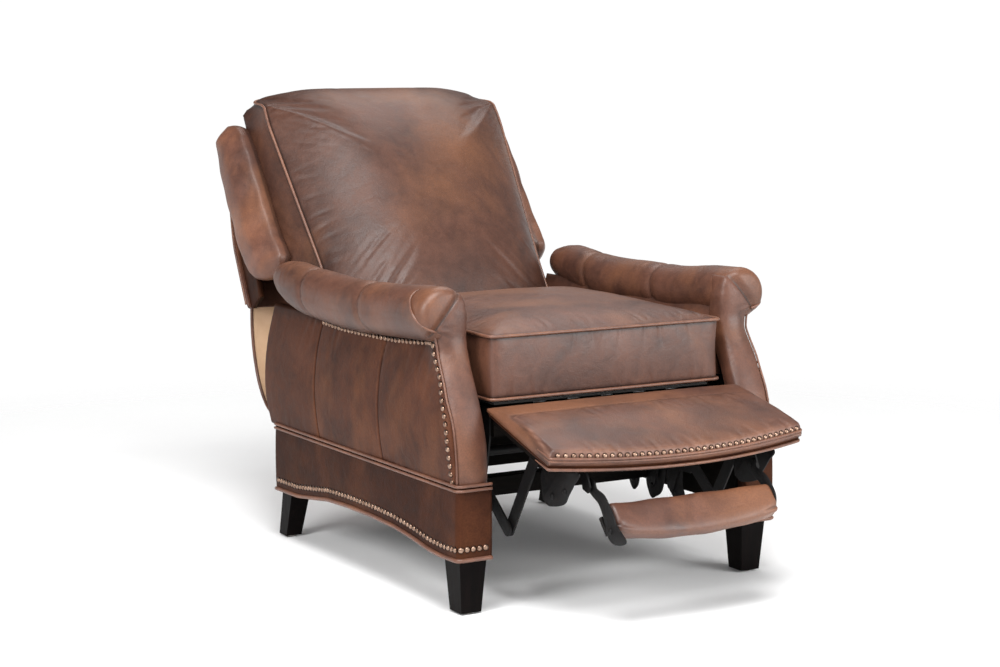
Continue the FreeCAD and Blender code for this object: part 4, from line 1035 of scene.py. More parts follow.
def make_seat_cushion():
    low_plan, low_z = seat_seam(False)
    high_plan, high_z = seat_seam(True)
    rings = []
    centre = np.array([0, 0.29])
    for share in (0.03, 0.25, 0.5, 0.75, 0.93):
        plan = centre + (low_plan - centre) * share
        rings.append(np.column_stack([plan, np.full(len(plan), SEAT_LOW - 0.006 + 0.004 * share ** 4)]))
    for t in np.linspace(0, 1, 8):
        plan = low_plan + (high_plan - low_plan) * t
        away = plan - centre
        away /= np.linalg.norm(away, axis=1, keepdims=True)
        rings.append(np.column_stack([plan + away * 0.002 * math.sin(math.pi * t),
                                      low_z + (high_z - low_z) * t]))
    for share in (0.97, 0.93, 0.86, 0.76, 0.6, 0.42, 0.22, 0.03):
        plan = centre + (high_plan - centre) * share
        rings.append(np.column_stack([plan, high_z + 0.034 * (1 - share ** 3.2) ** 0.9]))
    rings = np.array(rings)
    low_line = on_base(low_plan[:, 0], low_plan[:, 1], low_z)
    high_line = on_base(high_plan[:, 0], high_plan[:, 1], high_z)
    shape = Shape().rings(on_base(*np.moveaxis(rings, -1, 0)))
    data = inflate(shape, "seat_cushion_leather", [low_line, high_line], 0.022, 4.0,
                   keep_flat=lambda p: (p[:, 2] < SEAT_LOW - 0.001).astype(float))
    points = mesh_points(data)
    x, depth, z = points[:, 0], points[:, 1] - LEGS_FRONT, points[:, 2]
    points[:, 0] = np.clip(x, -0.2815, 0.2815)
    points[:, 2] = np.maximum(points[:, 2], 0.4045)
    gap = near_line(points, [high_line])
    low_gap = near_line(points, [low_line])
    # small puckers where the leather is gathered along the front welt
    top = step_up(z, SEAT_HIGH + 0.004, SEAT_HIGH + 0.012)
    draw = np.random.default_rng(5)
    fold = np.zeros(len(points))
    for _ in range(26):
        where = draw.uniform(-0.26, 0.26)
        reach = draw.uniform(0.03, 0.09)
        fold += crease(x, depth, (where, 0.030), (where + draw.uniform(-0.02, 0.02), 0.030 + reach), 0.0045,
                       0.0010)
    for _ in range(14):
        side = draw.choice([-1, 1])
        where = draw.uniform(0.06, 0.5)
        fold += crease(x, depth, (0.272 * side, where), (0.20 * side, where + draw.uniform(-0.02, 0.02)),
                       0.005, 0.0012)
    long_fold = (crease(x, depth, (-0.20, 0.34), (-0.02, 0.40), 0.012, 0.0016)
                 + crease(x, depth, (0.22, 0.30), (0.05, 0.36), 0.012, 0.0016)
                 + crease(x, depth, (-0.06, 0.52), (0.10, 0.47), 0.012, 0.0020))
    points[:, 2] += (fold + long_fold) * top
    face = 1 - step_up(depth, 0.036, 0.05)
    boxing = np.zeros(len(points))
    for _ in range(20):
        where = draw.uniform(-0.26, 0.26)
        if draw.uniform() < 0.5:
            boxing += crease(x, z, (where, SEAT_LOW), (where + draw.uniform(-0.02, 0.02), SEAT_LOW + 0.06),
                             0.005, 0.0010)
        else:
            boxing += crease(x, z, (where, SEAT_HIGH),
                             (where + draw.uniform(-0.02, 0.02), SEAT_HIGH - 0.06), 0.005, 0.0010)
    points[:, 1] -= boxing * face
    # painted shade along both welts and in the folds (from their depth), and a painted highlight on a band
    # near the front of the top
    tone = -0.7 * bump(np.maximum(gap - 0.0040, 0),
                       0.0035) - 0.7 * bump(np.maximum(low_gap - 0.0040, 0), 0.0035)
    tone += 120 * np.minimum(fold + long_fold, 0) * top
    tone += 0.10 * bump(depth - 0.10, 0.06) * top
    warm = 0.9 * bump(x + 0.02, 0.16) * bump(depth - 0.47, 0.10) * top - 0.4 * face
    finish_cushion(data, "seat_cushion_leather", HIDE_SEAT, "seat", ["seat_cushion"], points, tone, warm)
    cords = Shape()
    away = np.array([0, LEGS_FRONT + 0.29, 0])
    for line, radius in ((low_line, 0.0032), (high_line, 0.0034)):
        out = (line - away) * (1, 1, 0)
        out /= np.linalg.norm(out, axis=1, keepdims=True)
        cords.tube(line + out * 0.0022, radius, closed=True, tone=0.34)
    fix_normals(cords.make("seat_welts", HIDE_WELT, "seat"))


BACK_TOP = 0.672
BACK_REAR = 0.088


def back_outline(count=460):
    """Outline of the back cushion, (x, height along the back), with its rounded top corners."""
    half_low, half_top = 0.2765, 0.3060
    corners = [(-half_low, -0.028), (half_low, -0.028), (half_low + 0.003, 0.17), (half_top, 0.560),
               (half_top - 0.006, BACK_TOP - 0.014), (0.19, BACK_TOP), (-0.19, BACK_TOP),
               (-half_top + 0.006, BACK_TOP - 0.014), (-half_top, 0.560), (-half_low - 0.003, 0.19)]
    return rounded_plan(corners, 0.026, count)


def back_welt_behind(above):
    """How far back the welt line lies: level down the sides, and carried back over the top."""
    return 0.002 + 0.062 * step_up(above, 0.596, 0.668)


def back_rear_outline(plan):
    """The boxing flares outwards to meet the wings."""
    x, above = plan.T
    side = step_up(np.abs(x), 0.17, 0.255)
    half = np.interp(above, [0.17, 0.56], [0.2795, 0.306])
    reach = step_up(above, 0.13, 0.24) * (0.325 - half)
    return np.stack([x + np.sign(x) * side * reach, above - 0.006 * step_up(above, 0.62, 0.67)], 1)


def make_back_cushion():
    plan = back_outline()
    wide = back_rear_outline(plan)
    x, above = plan.T
    seam = back_welt_behind(above)
    centre = np.array([0, 0.31])
    rings = []
    for share in (0.03, 0.3, 0.6, 0.9, 0.97):
        spot = centre + (wide - centre) * share
        behind = np.full(len(spot), BACK_REAR + 0.008 - 0.004 * share ** 6)
        rings.append(np.column_stack([spot[:, 0], behind, spot[:, 1]]))
    for t in np.linspace(0, 1, 8):
        behind = BACK_REAR + (seam - BACK_REAR) * t
        spot = wide + (plan - wide) * t
        hollow = 0.004 * math.sin(math.pi * t)
        rings.append(np.column_stack([spot[:, 0] - np.sign(x) * hollow, behind, spot[:, 1]]))
    for share in (0.99, 0.97, 0.94, 0.90, 0.85, 0.78, 0.69, 0.57, 0.43, 0.28, 0.12, 0.03):
        spot = centre + (plan - centre) * share
        across = spot[:, 0] / np.interp(spot[:, 1], [0.17, 0.56], [0.2795, 0.306])
        up = (spot[:, 1] - 0.322) / 0.352
        near_edge = (1 - share ** 10) ** 0.5
        crown = near_edge * (0.088 + 0.010 * bump(spot[:, 1] - 0.16,
                                                  0.14)) * (1 - 0.86 * np.abs(across) ** 4.5)
        crown *= 1 - 0.55 * np.abs(np.clip(up, 0, 1)) ** 4 - 0.30 * np.abs(np.clip(up, -1, 0)) ** 4
        lift = 0.026 * step_up(spot[:, 1], 0.52, BACK_TOP) * near_edge
        rings.append(np.column_stack([spot[:, 0], seam * share ** 3 - crown, spot[:, 1] + lift]))
    rings = np.array(rings)
    front_line = on_back(x, seam, above)
    rear_line = on_back(wide[:, 0], BACK_REAR, wide[:, 1])
    shape = Shape().rings(on_back(*np.moveaxis(rings, -1, 0)))
    data = inflate(shape, "back_cushion_leather", [front_line, rear_line], 0.020, 3.6,
                   keep_flat=lambda p: (to_back(p)[:, 1] > BACK_REAR + 0.004).astype(float))
    points = mesh_points(data)
    local = to_back(points)
    lx, behind, high = local.T
    lx = np.clip(lx, -0.331, 0.331)
    front = 1 - step_up(behind, -0.02, 0.004)
    gap = near_line(points, [front_line])
    rear_gap = near_line(points, [rear_line])
    fold = np.zeros(len(points))
    # gathered top corners
    for side in (1, -1):
        for start, end, width, depth in (
                ((0.302, 0.612), (0.256, 0.634), 0.0070, 0.0085), ((0.298, 0.637), (0.262, 0.660), 0.0055,
                                                                   0.0075),
                ((0.304, 0.590), (0.276, 0.596), 0.0055, 0.0035), ((0.285, 0.656), (0.262, 0.675), 0.0050,
                                                                   0.0060),
                ((0.304, 0.622), (0.280, 0.640), 0.0042, 0.0045)):
            fold += crease(lx * side, high, start, end, width, depth)
    draw = np.random.default_rng(21)
    for _ in range(34):
        side = draw.choice([-1, 1])
        where = draw.uniform(0.16, 0.56)
        edge = 0.276 + 0.030 * (where - 0.17) / 0.4
        fold += crease(lx * side, high, (edge, where),
                       (edge - draw.uniform(0.03, 0.07), where + draw.uniform(-0.02, 0.02)),
                       0.0050, draw.uniform(0.0005, 0.0013))
    for _ in range(12):
        where = draw.uniform(-0.2, 0.2)
        fold += crease(lx, high, (where, BACK_TOP - 0.01), (where + draw.uniform(-0.03, 0.03), 0.62), 0.008,
                       0.0010)
    behind = behind - fold * front
    points = on_back(lx, behind, high)
    # painted shade along the welt and the rear seam, in the folds (from their depth), and towards the rear of
    # the boxing
    tone = -0.75 * bump(np.maximum(gap - 0.0036, 0), 0.0034) - 0.6 * bump(rear_gap, 0.006)
    tone += 62 * np.minimum(fold, 0) * front
    tone -= 0.20 * step_up(behind, 0.03, 0.08)
    warm = (1.0 * bump(lx - 0.09, 0.11) * bump(high - 0.43, 0.14)
            + 0.8 * bump(lx - 0.02, 0.2) * bump(high - 0.61, 0.05)
            - 0.5 * bump(lx + 0.20, 0.09) - 0.4 * bump(lx - 0.24, 0.06))
    finish_cushion(data, "back_cushion_leather", HIDE_BACK_SHADED, "back", ["back_cushion"], points, tone, warm)
    cords = Shape()
    out = plan - centre
    out /= np.linalg.norm(out, axis=1, keepdims=True)
    cords.tube(on_back(x + 0.0016 * out[:, 0], seam - 0.0008, above + 0.0016 * out[:, 1]), 0.0031,
               closed=True, tone=0.36)
    fix_normals(cords.make("back_cushion_welts", HIDE_WELT, "back"))


def to_back(points):
    """The reverse of on_back."""
    y, z = points[:, 1] - PIVOT[1], points[:, 2] - PIVOT[2]
    behind = y * math.cos(LEAN) - z * math.sin(LEAN)
    above = y * math.sin(LEAN) + z * math.cos(LEAN)
    return np.stack([points[:, 0], behind, above], 1)


# ------------------------------------------------------------------ wings, shell and flap

WING_V = [0.218, 0.225, 0.241, 0.268, 0.300, 0.340, 0.400, 0.460, 0.530, 0.573, 0.600, 0.616, 0.626]
WING_FRONT = [0.090, 0.062, 0.048, 0.050, 0.056, 0.059, 0.060, 0.060, 0.061, 0.066, 0.078, 0.094, 0.116]
WING_REAR = [0.102, 0.132, 0.160, 0.180, 0.191, 0.195, 0.192, 0.188, 0.180, 0.172, 0.160, 0.144, 0.120]


def wing():
    turn = np.linspace(0, 2 * math.pi, 64, endpoint=False)
    levels = np.concatenate([0.218 + 0.03 * (1 - np.cos(np.linspace(0, math.pi / 2, 9))),
                             np.linspace(0.253, 0.590,
                                         76), 0.626 - 0.034 * (1 - np.sin(np.linspace(0, math.pi / 2, 9)))])
    rings, tones = [], []
    for level in levels:
        front = float(ease(level, WING_V, WING_FRONT, 0.004))
        rear = float(ease(level, WING_V, WING_REAR, 0.004))
        end = min(level - 0.2175, 0.6265 - level)
        half = 0.0365 * min(1.0, math.sqrt(max(end, 0) / 0.030) * 0.9 + 0.1)
        half += 0.0035 * math.sin(math.pi * (level - 0.21) / 0.42)
        middle, reach = (front + rear) / 2, max((rear - front) / 2, 0.002)
        c, s = np.cos(turn), np.sin(turn)
        x = 0.3440 + half * np.sign(c) * np.abs(c) ** 0.78
        behind = middle + reach * np.sign(s) * np.abs(s) ** 0.74
        slant = 0.42 + 0.58 * step_up(behind, front - 0.010, front + 0.062)
        x = np.where(x > 0.344, 0.344 + (x - 0.344) * slant, x)
        rings.append(on_back(np.maximum(x, 0.3105), behind, level))
        # painted shade on the inner side beside the cushion and along the front edge
        tones.append(np.where(c < -0.2, -0.4, 0.0) - 0.3 * bump(s + 1, 0.25))
    rings = np.array(rings)
    level = levels[:, None]
    wave = 0.0012 * np.sin(level * 40 + 1) * np.cos(turn)[None,
                                                          :] + 0.0010 * np.sin(level * 73 + turn[None, :])
    rings[..., 0] += wave * (np.cos(turn)[None, :] > 0)
    warm = 0.5 * bump(level - 0.36, 0.07) * np.ones_like(turn)[None, :]
    # plus a painted highlight on a band near the bottom
    return Shape().rings(rings, np.array(tones) + 0.2 * bump(level - 0.27, 0.02), warm)


SHELL_LOOP = [(0.1740, 0.600), (0.1800, 0.6075), (0.1880, 0.605), (0.1905, 0.590), (0.1985, 0.480),
              (0.2180, 0.350),
              (0.2370, 0.222), (0.2345, 0.2155), (0.2265, 0.2165), (0.2080,
                                                                    0.335), (0.1885, 0.460), (0.1770, 0.580)]


def shell_narrowing(above):
    """The outside back is a little narrower beside the wings than below them."""
    return 1 - 0.035 * step_up(above, 0.34, 0.50)


def make_shell():
    loop = smooth_line([(a, b, 0) for a, b in SHELL_LOOP], 0.006, closed=True)
    half = 0.367
    ends = half - 0.006 * (1 - np.sin(np.linspace(0, math.pi / 2, 5)))
    xs = np.concatenate([-ends[::-1], np.linspace(-half + 0.016, half - 0.016, 60), ends])
    rings = []
    middle = loop.mean(0)
    for x in xs:
        edge = max(abs(x) - (half - 0.006), 0) / 0.006
        shrink = 1 - 0.006 / 0.2 * (1 - math.sqrt(max(1 - edge ** 2, 0)))
        swell = 0.006 * (1 - (x / half) ** 2)
        rear = step_up(loop[:, 0] - np.interp(loop[:, 1], [0.2, 0.48, 0.61], [0.230, 0.193, 0.181]), -0.002,
                       0.006)
        behind = middle[0] + (loop[:, 0] - middle[0]) * (1 - 0.10 * edge ** 2) + swell * rear
        above = middle[1] + (loop[:, 1] - middle[1]) * shrink
        rings.append(on_back(x * shell_narrowing(above), behind, above))
    fix_normals(Shape().rings(np.array(rings)).make("outside_back_leather", HIDE, "back", ["outside_back"],
                                                    smooth_angle=50))

    u, v, lift = rimmed_grid((0.612, 0.015, 0.006), (0.096, 0.006, 0.004))
    top = on_back((u - 0.5) * 0.612, 0.086 + 0.096 * v, 0.600 + 0.008 * lift + 0.006 * np.sin(np.pi * v))
    low = on_back((u - 0.5) * 0.612, 0.086 + 0.096 * v, np.full_like(u, 0.598))
    # tone -0.1 slightly darkens the top strip: painted shade
    fix_normals(Shape().slab(top, low, -0.1).make("back_top_leather", HIDE, "back"))

    cords = Shape()
    for side in (1, -1):
        line = smooth_line([(0.3665, 0.2370, 0.222), (0.3670, 0.2180, 0.350), (0.3670, 0.1985, 0.480),
                            (0.3665, 0.1900, 0.585), (0.3600, 0.1855, 0.604), (0.33, 0.1850, 0.6065),
                            (0.0, 0.1900, 0.6070)], 0.004)
        cords.tube(on_back(line[:, 0] * side * shell_narrowing(line[:, 2]), line[:, 1], line[:, 2]), 0.0030,
                   tone=0.25)
    fix_normals(cords.make("outside_back_welts", HIDE_WELT, "back"))

    sides = Shape()
    u, v, lift = rimmed_grid((1.0, 0.1, 0.05), (1.0, 0.1, 0.05))
    for side in (1, -1):
        above = 0.206 + 0.40 * v
        start = ease(above, [0.20, 0.24, 0.30, 0.55, 0.61], [0.175, 0.160, 0.150, 0.130, 0.14], 0.01)
        behind = start + (ease(above, [0.2, 0.48, 0.61], [0.2285, 0.190, 0.178], 0.01) - start) * u
        outer = on_back((0.3605 + 0.002 * lift) * side * shell_narrowing(above), behind, above)
        inner = on_back(0.3480 * side * shell_narrowing(above), behind, above)
        # side strips of the outside back: shaded leather copy and tone -0.35, painted shade
        sides.slab(outer, inner, -0.35)
    fix_normals(sides.make("back_side_leather", HIDE_SHADED, "back"))


FLAP_HALF, FLAP_THICK = 0.356, 0.0028
FLAP_LINE = [(0.8020, 0.2585), (0.8560, 0.2625), (0.9150, 0.2835), (0.9570, 0.3265), (0.9790, 0.3830),
             (0.9850, 0.4400), (0.9800, 0.4900), (0.9735, 0.5120)]


def make_flap():
    """Loose leather below the back, finished outside and suede inside."""
    line = smooth_line([(a, b, 0) for a, b in FLAP_LINE], 0.008)[:, :2]
    outward = outward_of(line)
    xs = np.linspace(-FLAP_HALF, FLAP_HALF, 72)
    along = np.linspace(0, 1, len(line))
    u, v = np.meshgrid(along, xs, indexing="ij")
    sag = np.sin(np.pi * u)
    draw = np.random.default_rng(4)
    wave = 0.0035 * sag * np.sin(v * 17 + 0.8)
    for _ in range(7):
        where = draw.uniform(-0.3, 0.3)
        wave += crease(v, u, (where, 1.02), (where + draw.uniform(-0.06, 0.06), 0.45), 0.013,
                       0.003) * step_up(u, 0.0, 0.2)
    wave += 0.004 * bump(np.abs(v) - 0.34, 0.03) * sag
    pull = 1 - 0.03 * sag
    place = line[:, None, :] + outward[:, None, :] * wave[..., None]
    front = on_base(v * pull, place[..., 0], place[..., 1])
    inner = place - outward[:, None, :] * FLAP_THICK
    rear = on_base(v * pull, inner[..., 0], inner[..., 1])
    # painted shade along the edge where the flap meets the base, and a painted highlight along its side edges
    tone = -0.3 * (1 - step_up(u, 0, 0.08)) + 0.3 * bump(np.abs(v) - FLAP_HALF + 0.002, 0.004)
    shape = Shape().slab(front, rear, tone)
    for column in (0, -1):
        shape.tube((front[:, column] + rear[:, column]) / 2, 0.0036, tone=0.2)
    thing = shape.make("back_flap_leather", HIDE, None, ["back_flap"], slot="loose_leather", smooth_angle=60)
    thing.data.materials.append(SUEDE)
    quads = (len(line) - 1) * (len(xs) - 1)
    marks = np.zeros(len(thing.data.polygons), np.int32)
    marks[quads:2 * quads] = 1
    thing.data.polygons.foreach_set("material_index", marks)
    start = on_base(0.0, 0.86, 0.275)
    end = on_base(0.0, 0.981, 0.470)
    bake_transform(thing)


# ------------------------------------------------------------------ footrest

BOARD_HALF, BOARD_DEPTH, BOARD_BOW = 0.298, 0.232, 0.040
BOARD_SEAM = 0.066
SIDE_SEAM = 0.015


def board_front(x):
    return BOARD_DEPTH + BOARD_BOW * (1 - (np.asarray(x) / BOARD_HALF) ** 2)


def board_crown(forward):
    return ease(forward, [0.0, 0.02, 0.066, 0.12, 0.20, 0.245, 0.272],
                [-0.004, 0.002, 0.0075, 0.0125, 0.0140, 0.0125, 0.009], 0.012)


def board_seam_gap(x, forward):
    """Signed distance ahead of the seam that runs across the board and forward along each side."""
    across = forward - BOARD_SEAM
    beside = (BOARD_HALF - SIDE_SEAM * (1 - 0.8 * step_up(forward, 0.08, 0.25))) - np.abs(x)
    soft = 0.020
    blend = np.clip(0.5 + 0.5 * (beside - across) / soft, 0, 1)
    return beside + (across - beside) * blend - soft * blend * (1 - blend)


def make_board():
    us, lift_u = rim(2 * BOARD_HALF, 0.005, 0.012, 6)
    vs, lift_v = rim(0.260, 0.004, 0.012, 7)
    u, v = np.meshgrid(us, vs, indexing="ij")
    lift = np.minimum(lift_u[:, None], lift_v[None, :]) * (0.5 + 0.5 * lift_u[:, None] * lift_v[None, :])
    x = (u - 0.5) * 2 * BOARD_HALF
    deep = board_front(x)
    forward = deep * v
    ahead = deep - forward
    line = board_seam_gap(x, forward)
    draw = np.random.default_rng(9)
    ripple = np.zeros_like(x)
    for _ in range(26):
        where = draw.uniform(-0.28, 0.28)
        ripple += crease(x, forward, (where, BOARD_SEAM),
                         (where + draw.uniform(-0.02, 0.02), BOARD_SEAM + draw.uniform(0.03, 0.07)),
                         0.0045, draw.uniform(0.0008, 0.0016))
    for _ in range(44):
        where = draw.uniform(-0.285, 0.285)
        ripple += crease(x, ahead, (where, 0.0), (where + draw.uniform(-0.012, 0.012),
                                                  draw.uniform(0.02, 0.06)), 0.0040, 0.0014)
    raised = 0.0022 * step_up(line, -0.004, 0.004) - 0.0016 * bump(line + 0.004, 0.0030)
    full = 0.0025 * np.sin(np.pi * u) ** 0.5
    up = -0.006 + (0.006 + board_crown(forward) + full + raised + ripple) * lift
    # a painted highlight on the seam's ridge, painted shade in the groove beside it and in the ripples, a
    # painted highlight along the front roll above the nails, and painted shade on the strips outside the seam
    # towards the front
    tone = 0.85 * bump(line, 0.0016) - 0.40 * bump(line + 0.0042, 0.0022) + 95 * np.minimum(ripple, 0)
    tone += 0.50 * bump(ahead - 0.007, 0.010) * (1 - step_up(np.abs(x), 0.26, 0.29))
    tone -= 0.25 * step_up(-line, 0.001, 0.012) * step_up(forward, 0.08, 0.14)
    warm = 1.1 * (1 - step_up(line, -0.012, 0.002)) * step_up(-x, -0.16, 0.14) + 0.15
    top = on_board(x, forward, up)
    under = on_board(x, forward, np.full_like(x, -0.012))
    cover = fix_normals(Shape().slab(top, under, tone, warm).make("footrest_leather", HIDE_SEAT, "footrest",
                                                                  ["footrest_cover"]))

    band_us, band_lift = rim(2 * BOARD_HALF - 0.004, 0.008, 0.006)
    turn = np.linspace(0, 2 * math.pi, 28, endpoint=False)
    rings = []
    for share, height in zip(band_us, band_lift):
        across = (share - 0.5) * (2 * BOARD_HALF - 0.004)
        deep = float(board_front(across)) - 0.001
        c, s = np.cos(turn), np.sin(turn)
        reach = deep / 2 - 0.006 * (1 - height)
        rings.append(on_board(across, deep / 2 + reach * np.sign(c) * np.abs(c) ** 0.12,
                              -0.0125 + 0.0095 * (0.3 + 0.7 * height) * np.sign(s) * np.abs(s) ** 0.25))
    fix_normals(Shape().rings(np.array(rings), -0.05).make("footrest_border_leather", HIDE_SHADED, "footrest"))

    cords = Shape()
    xs = np.linspace(-BOARD_HALF + 0.003, BOARD_HALF - 0.003, 150)
    hook = np.linspace(0, 1, 9)[1:]
    for up, radius in ((0.0020, 0.0029), (-0.0035, 0.0029), (-0.0205, 0.0032)):
        front = np.column_stack([xs, board_front(xs) + 0.0010, np.full(len(xs), up)])
        tuck = np.column_stack([xs[-1] + 0.0015 * np.sin(hook * math.pi / 2),
                                board_front(xs[-1]) - 0.045 * hook ** 1.2,
                                np.full(len(hook), up) - 0.002 * hook])
        path = np.vstack([(tuck * (-1, 1, 1))[::-1], front, tuck])
        path = smooth_line(path[::2], 0.004)
        size = radius * np.clip(10 * np.minimum(np.linspace(0, 1, len(path)), np.linspace(1, 0, len(path)))
                                + 0.25, 0, 1)
        cords.tube(on_board(*path.T), size, tone=0.34)
    fix_normals(cords.make("footrest_welts", HIDE_WELT, "footrest"))
    nails = Shape()
    row = smooth_line(np.column_stack([xs, board_front(xs) - 0.0022, np.zeros(len(xs))]), 0.0157)[1:-1]
    spots = on_board(row[:, 0], row[:, 1], 0.0072)
    normal = on_board(0, 1.0, 0.55) - on_board(0, 0, 0)
    nails.domes(spots, np.tile(normal, (len(row), 1)), radius=0.0042)
    nails.make("footrest_nailheads", BRASS, "footrest", ["footrest_nails"], slot="nail_brass")


def make_pad():
    """Small padded bar beyond the footrest board, boxed at its ends and gathered at its corners."""
    half, deep, thick = 0.1880, 0.062, 0.034
    ends = np.array([0.0, 0.0008, 0.0022, 0.0045, 0.0075, 0.011, 0.016])
    inner = np.linspace(-half + 0.021, half - 0.021, 90)
    xs = np.concatenate([-half + ends, inner, half - ends[::-1]])
    turn = np.linspace(0, 2 * math.pi, 64, endpoint=False)
    c, s = np.cos(turn), np.sin(turn)
    draw = np.random.default_rng(13)
    pleats = [(draw.choice([-1, 1]) * (half - 0.004), draw.uniform(-0.4, 1.2), draw.uniform(0.015, 0.05),
               draw.uniform(-0.5, 0.5))
              for _ in range(18)]
    rings, tones, warms = [], [], []
    for x in xs:
        place = x * (1.035 if x > 0 else 0.99)
        end = min(half - abs(x), 0.011) / 0.011
        share = math.sqrt(max(1 - (1 - end) ** 2, 0.0))
        bow = 0.018 * (1 - (x / half) ** 2)
        reach = (deep + bow) / 2
        flare = 0.0035 * float(bump(half - abs(x) - 0.008, 0.022))
        forward = reach + reach * (0.72 + 0.28 * share) * np.sign(c) * np.abs(c) ** 0.62
        up = -thick / 2 + (thick / 2 + 0.0015 + flare) * (0.40
                                                          + 0.60 * share) * np.sign(s) * np.abs(s) ** 0.55
        fold = np.zeros_like(turn)
        for where, angle, long, lean in pleats:
            away = abs(x - where)
            if away < long:
                fold -= 0.0016 * (1 - away / long) * bump(turn - angle - lean * away / long, 0.10)
        fold += 0.0008 * math.sin(x * 61)
        rings.append(on_pad(place, forward + fold * c, up + fold * s))
        # a painted highlight along the upper front, painted shade underneath, in the pleats (from their
        # depth) and at both end seams
        tones.append(0.35 * bump(turn - 0.42, 0.3) - 0.3 * bump(s + 1, 0.3)
                     + 150 * np.minimum(fold + 0.0008, 0)
                     - 0.5 * bump(half - abs(x) - 0.002, 0.003))
        warms.append(np.full(64, 0.9 * float(step_up(x, 0.02, 0.15)) - 0.2))
    pad = fix_normals(Shape().rings(np.array(rings), np.array(tones), np.array(warms)).make(
        "footrest_pad_leather", HIDE_SEAT, "footrest_pad", ["pad_cushion"]))


# ------------------------------------------------------------------ pressed steel linkage parts

PAD_ARM_NEAR = [(-0.174, 0.281), (-0.179, 0.268), (-0.200, 0.255), (-0.222, 0.243), (-0.240, 0.216),
                (-0.252, 0.188),
                (-0.272, 0.177), (-0.302, 0.181), (-0.311, 0.192), (-0.280,
                                                                    0.214), (-0.268, 0.232), (-0.240, 0.262),
                (-0.212, 0.272), (-0.206, 0.284), (-0.192, 0.289)]
PAD_ARM_FAR = [(-0.174, 0.281), (-0.179, 0.268), (-0.200, 0.255), (-0.222, 0.243), (-0.240, 0.216),
               (-0.256, 0.202),
                 (-0.268, 0.206), (-0.268, 0.232), (-0.240, 0.262), (-0.212,
                                                                     0.272), (-0.206, 0.284), (-0.192, 0.289)]
STOP_BRACKET = [(-0.082, 0.290), (-0.085, 0.240), (-0.090, 0.231), (-0.112, 0.224), (-0.160, 0.236),
                (-0.178, 0.258),
                (-0.196, 0.281), (-0.212, 0.305), (-0.150, 0.318)]
RAIL_BRACKETS = ([(0.372, 0.245), (0.362, 0.165), (0.352, 0.140), (0.341, 0.126), (0.331, 0.127),
                  (0.317, 0.150), (0.306, 0.245)],
                 [(0.298, 0.245), (0.290, 0.160), (0.280, 0.132), (0.269, 0.119), (0.257, 0.121),
                  (0.226, 0.148), (0.216, 0.245)])
LINK_STUB = [(0.206, 0.240), (0.202, 0.166), (0.190, 0.148), (0.171, 0.134), (0.146, 0.137), (0.136, 0.147),
             (0.144, 0.170),
             (0.150, 0.240)]


def plate(shape, outline, inner, outer):
    """Add a pressed plate with the given side view, (depth, z), between two distances from the middle."""
    edge = smooth_line([(a, b, 0) for a, b in outline], 0.003, closed=True)[:, :2]
    count = len(edge)
    rings = []
    for x, shrink in ((inner, 0.0008), (inner + 0.0006 * np.sign(outer - inner), 0.0),
                      (outer - 0.0006 * np.sign(outer - inner), 0.0),
                      (outer, 0.0008)):
        ahead = np.roll(edge, -1, 0) - np.roll(edge, 1, 0)
        ahead /= np.linalg.norm(ahead, axis=1, keepdims=True)
        inward = np.stack([-ahead[:, 1], ahead[:, 0]], 1)
        area = np.sum(edge[:, 0] * np.roll(edge[:, 1], -1) - edge[:, 1] * np.roll(edge[:, 0], -1))
        rings.append(on_base(np.full(count, x), *(edge + inward * shrink * np.sign(area)).T))
    faces = list(grid_faces(4, count, around=True))
    faces += [list(range(count))[::-1], list(range(3 * count, 4 * count))]
    return shape.add(np.vstack(rings), faces)


def rivets(shape, places, x, side):
    """Round rivet heads on a plate's outer face."""
    turn = np.linspace(0, 2 * math.pi, 16, endpoint=False)
    for depth, z in places:
        rings = [on_base(x + side * out, depth + r * np.cos(turn), z + r * np.sin(turn))
                 for r, out in ((0.0062, -0.001), (0.0062, 0.0012), (0.0050, 0.0026), (0.0024, 0.0034))]
        shape.rings(np.array(rings))
    return shape


def make_linkage_plates():
    arms = plate(plate(Shape(), PAD_ARM_NEAR, -0.188, -0.192), PAD_ARM_FAR, 0.188, 0.192)
    rivets(arms, [(-0.190, 0.275), (-0.262, 0.200)], -0.192, -1)
    rivets(arms, [(-0.190, 0.275)], 0.192, 1)
    fix_normals(arms.make("pad_arms_steel", STEEL, "footrest_pad", ["pad_arm_left", "pad_arm_right"],
                          smooth_angle=40))
    stops, stubs, rails = Shape(), Shape(), Shape()
    for side in (1, -1):
        plate(stops, STOP_BRACKET, 0.2275 * side, 0.2310 * side)
        rivets(stops, [(-0.120, 0.245), (-0.165, 0.262)], 0.2310 * side, side)
        plate(stubs, LINK_STUB, 0.2635 * side, 0.2665 * side)
        rivets(stubs, [(0.166, 0.152), (0.180, 0.190)], 0.2665 * side, side)
        for outline in RAIL_BRACKETS:
            plate(rails, outline, 0.2700 * side, 0.2735 * side)
        rivets(rails, [(0.338, 0.150), (0.266, 0.146)], 0.2700 * side, -side)
    fix_normals(stops.make("footrest_stop_plates", STEEL, "footrest", smooth_angle=40))
    fix_normals(stubs.make("drive_stub_plates", STEEL, "seat", smooth_angle=40))
    fix_normals(rails.make("rail_brackets_steel", STEEL, "base", smooth_angle=40))


# ------------------------------------------------------------------ CAD nodes that stay

def paint(names, material):
    for name in names:
        thing = bpy.data.objects[name]
        thing.data.materials.clear()
        thing.data.materials.append(material)


def bevel(names, width):
    for name in names:
        round_off = bpy.data.objects[name].modifiers.new("bevel", "BEVEL")
        round_off.width, round_off.segments = width, 2
        round_off.limit_method, round_off.angle_limit = "ANGLE", math.radians(40)
        round_off.harden_normals = True


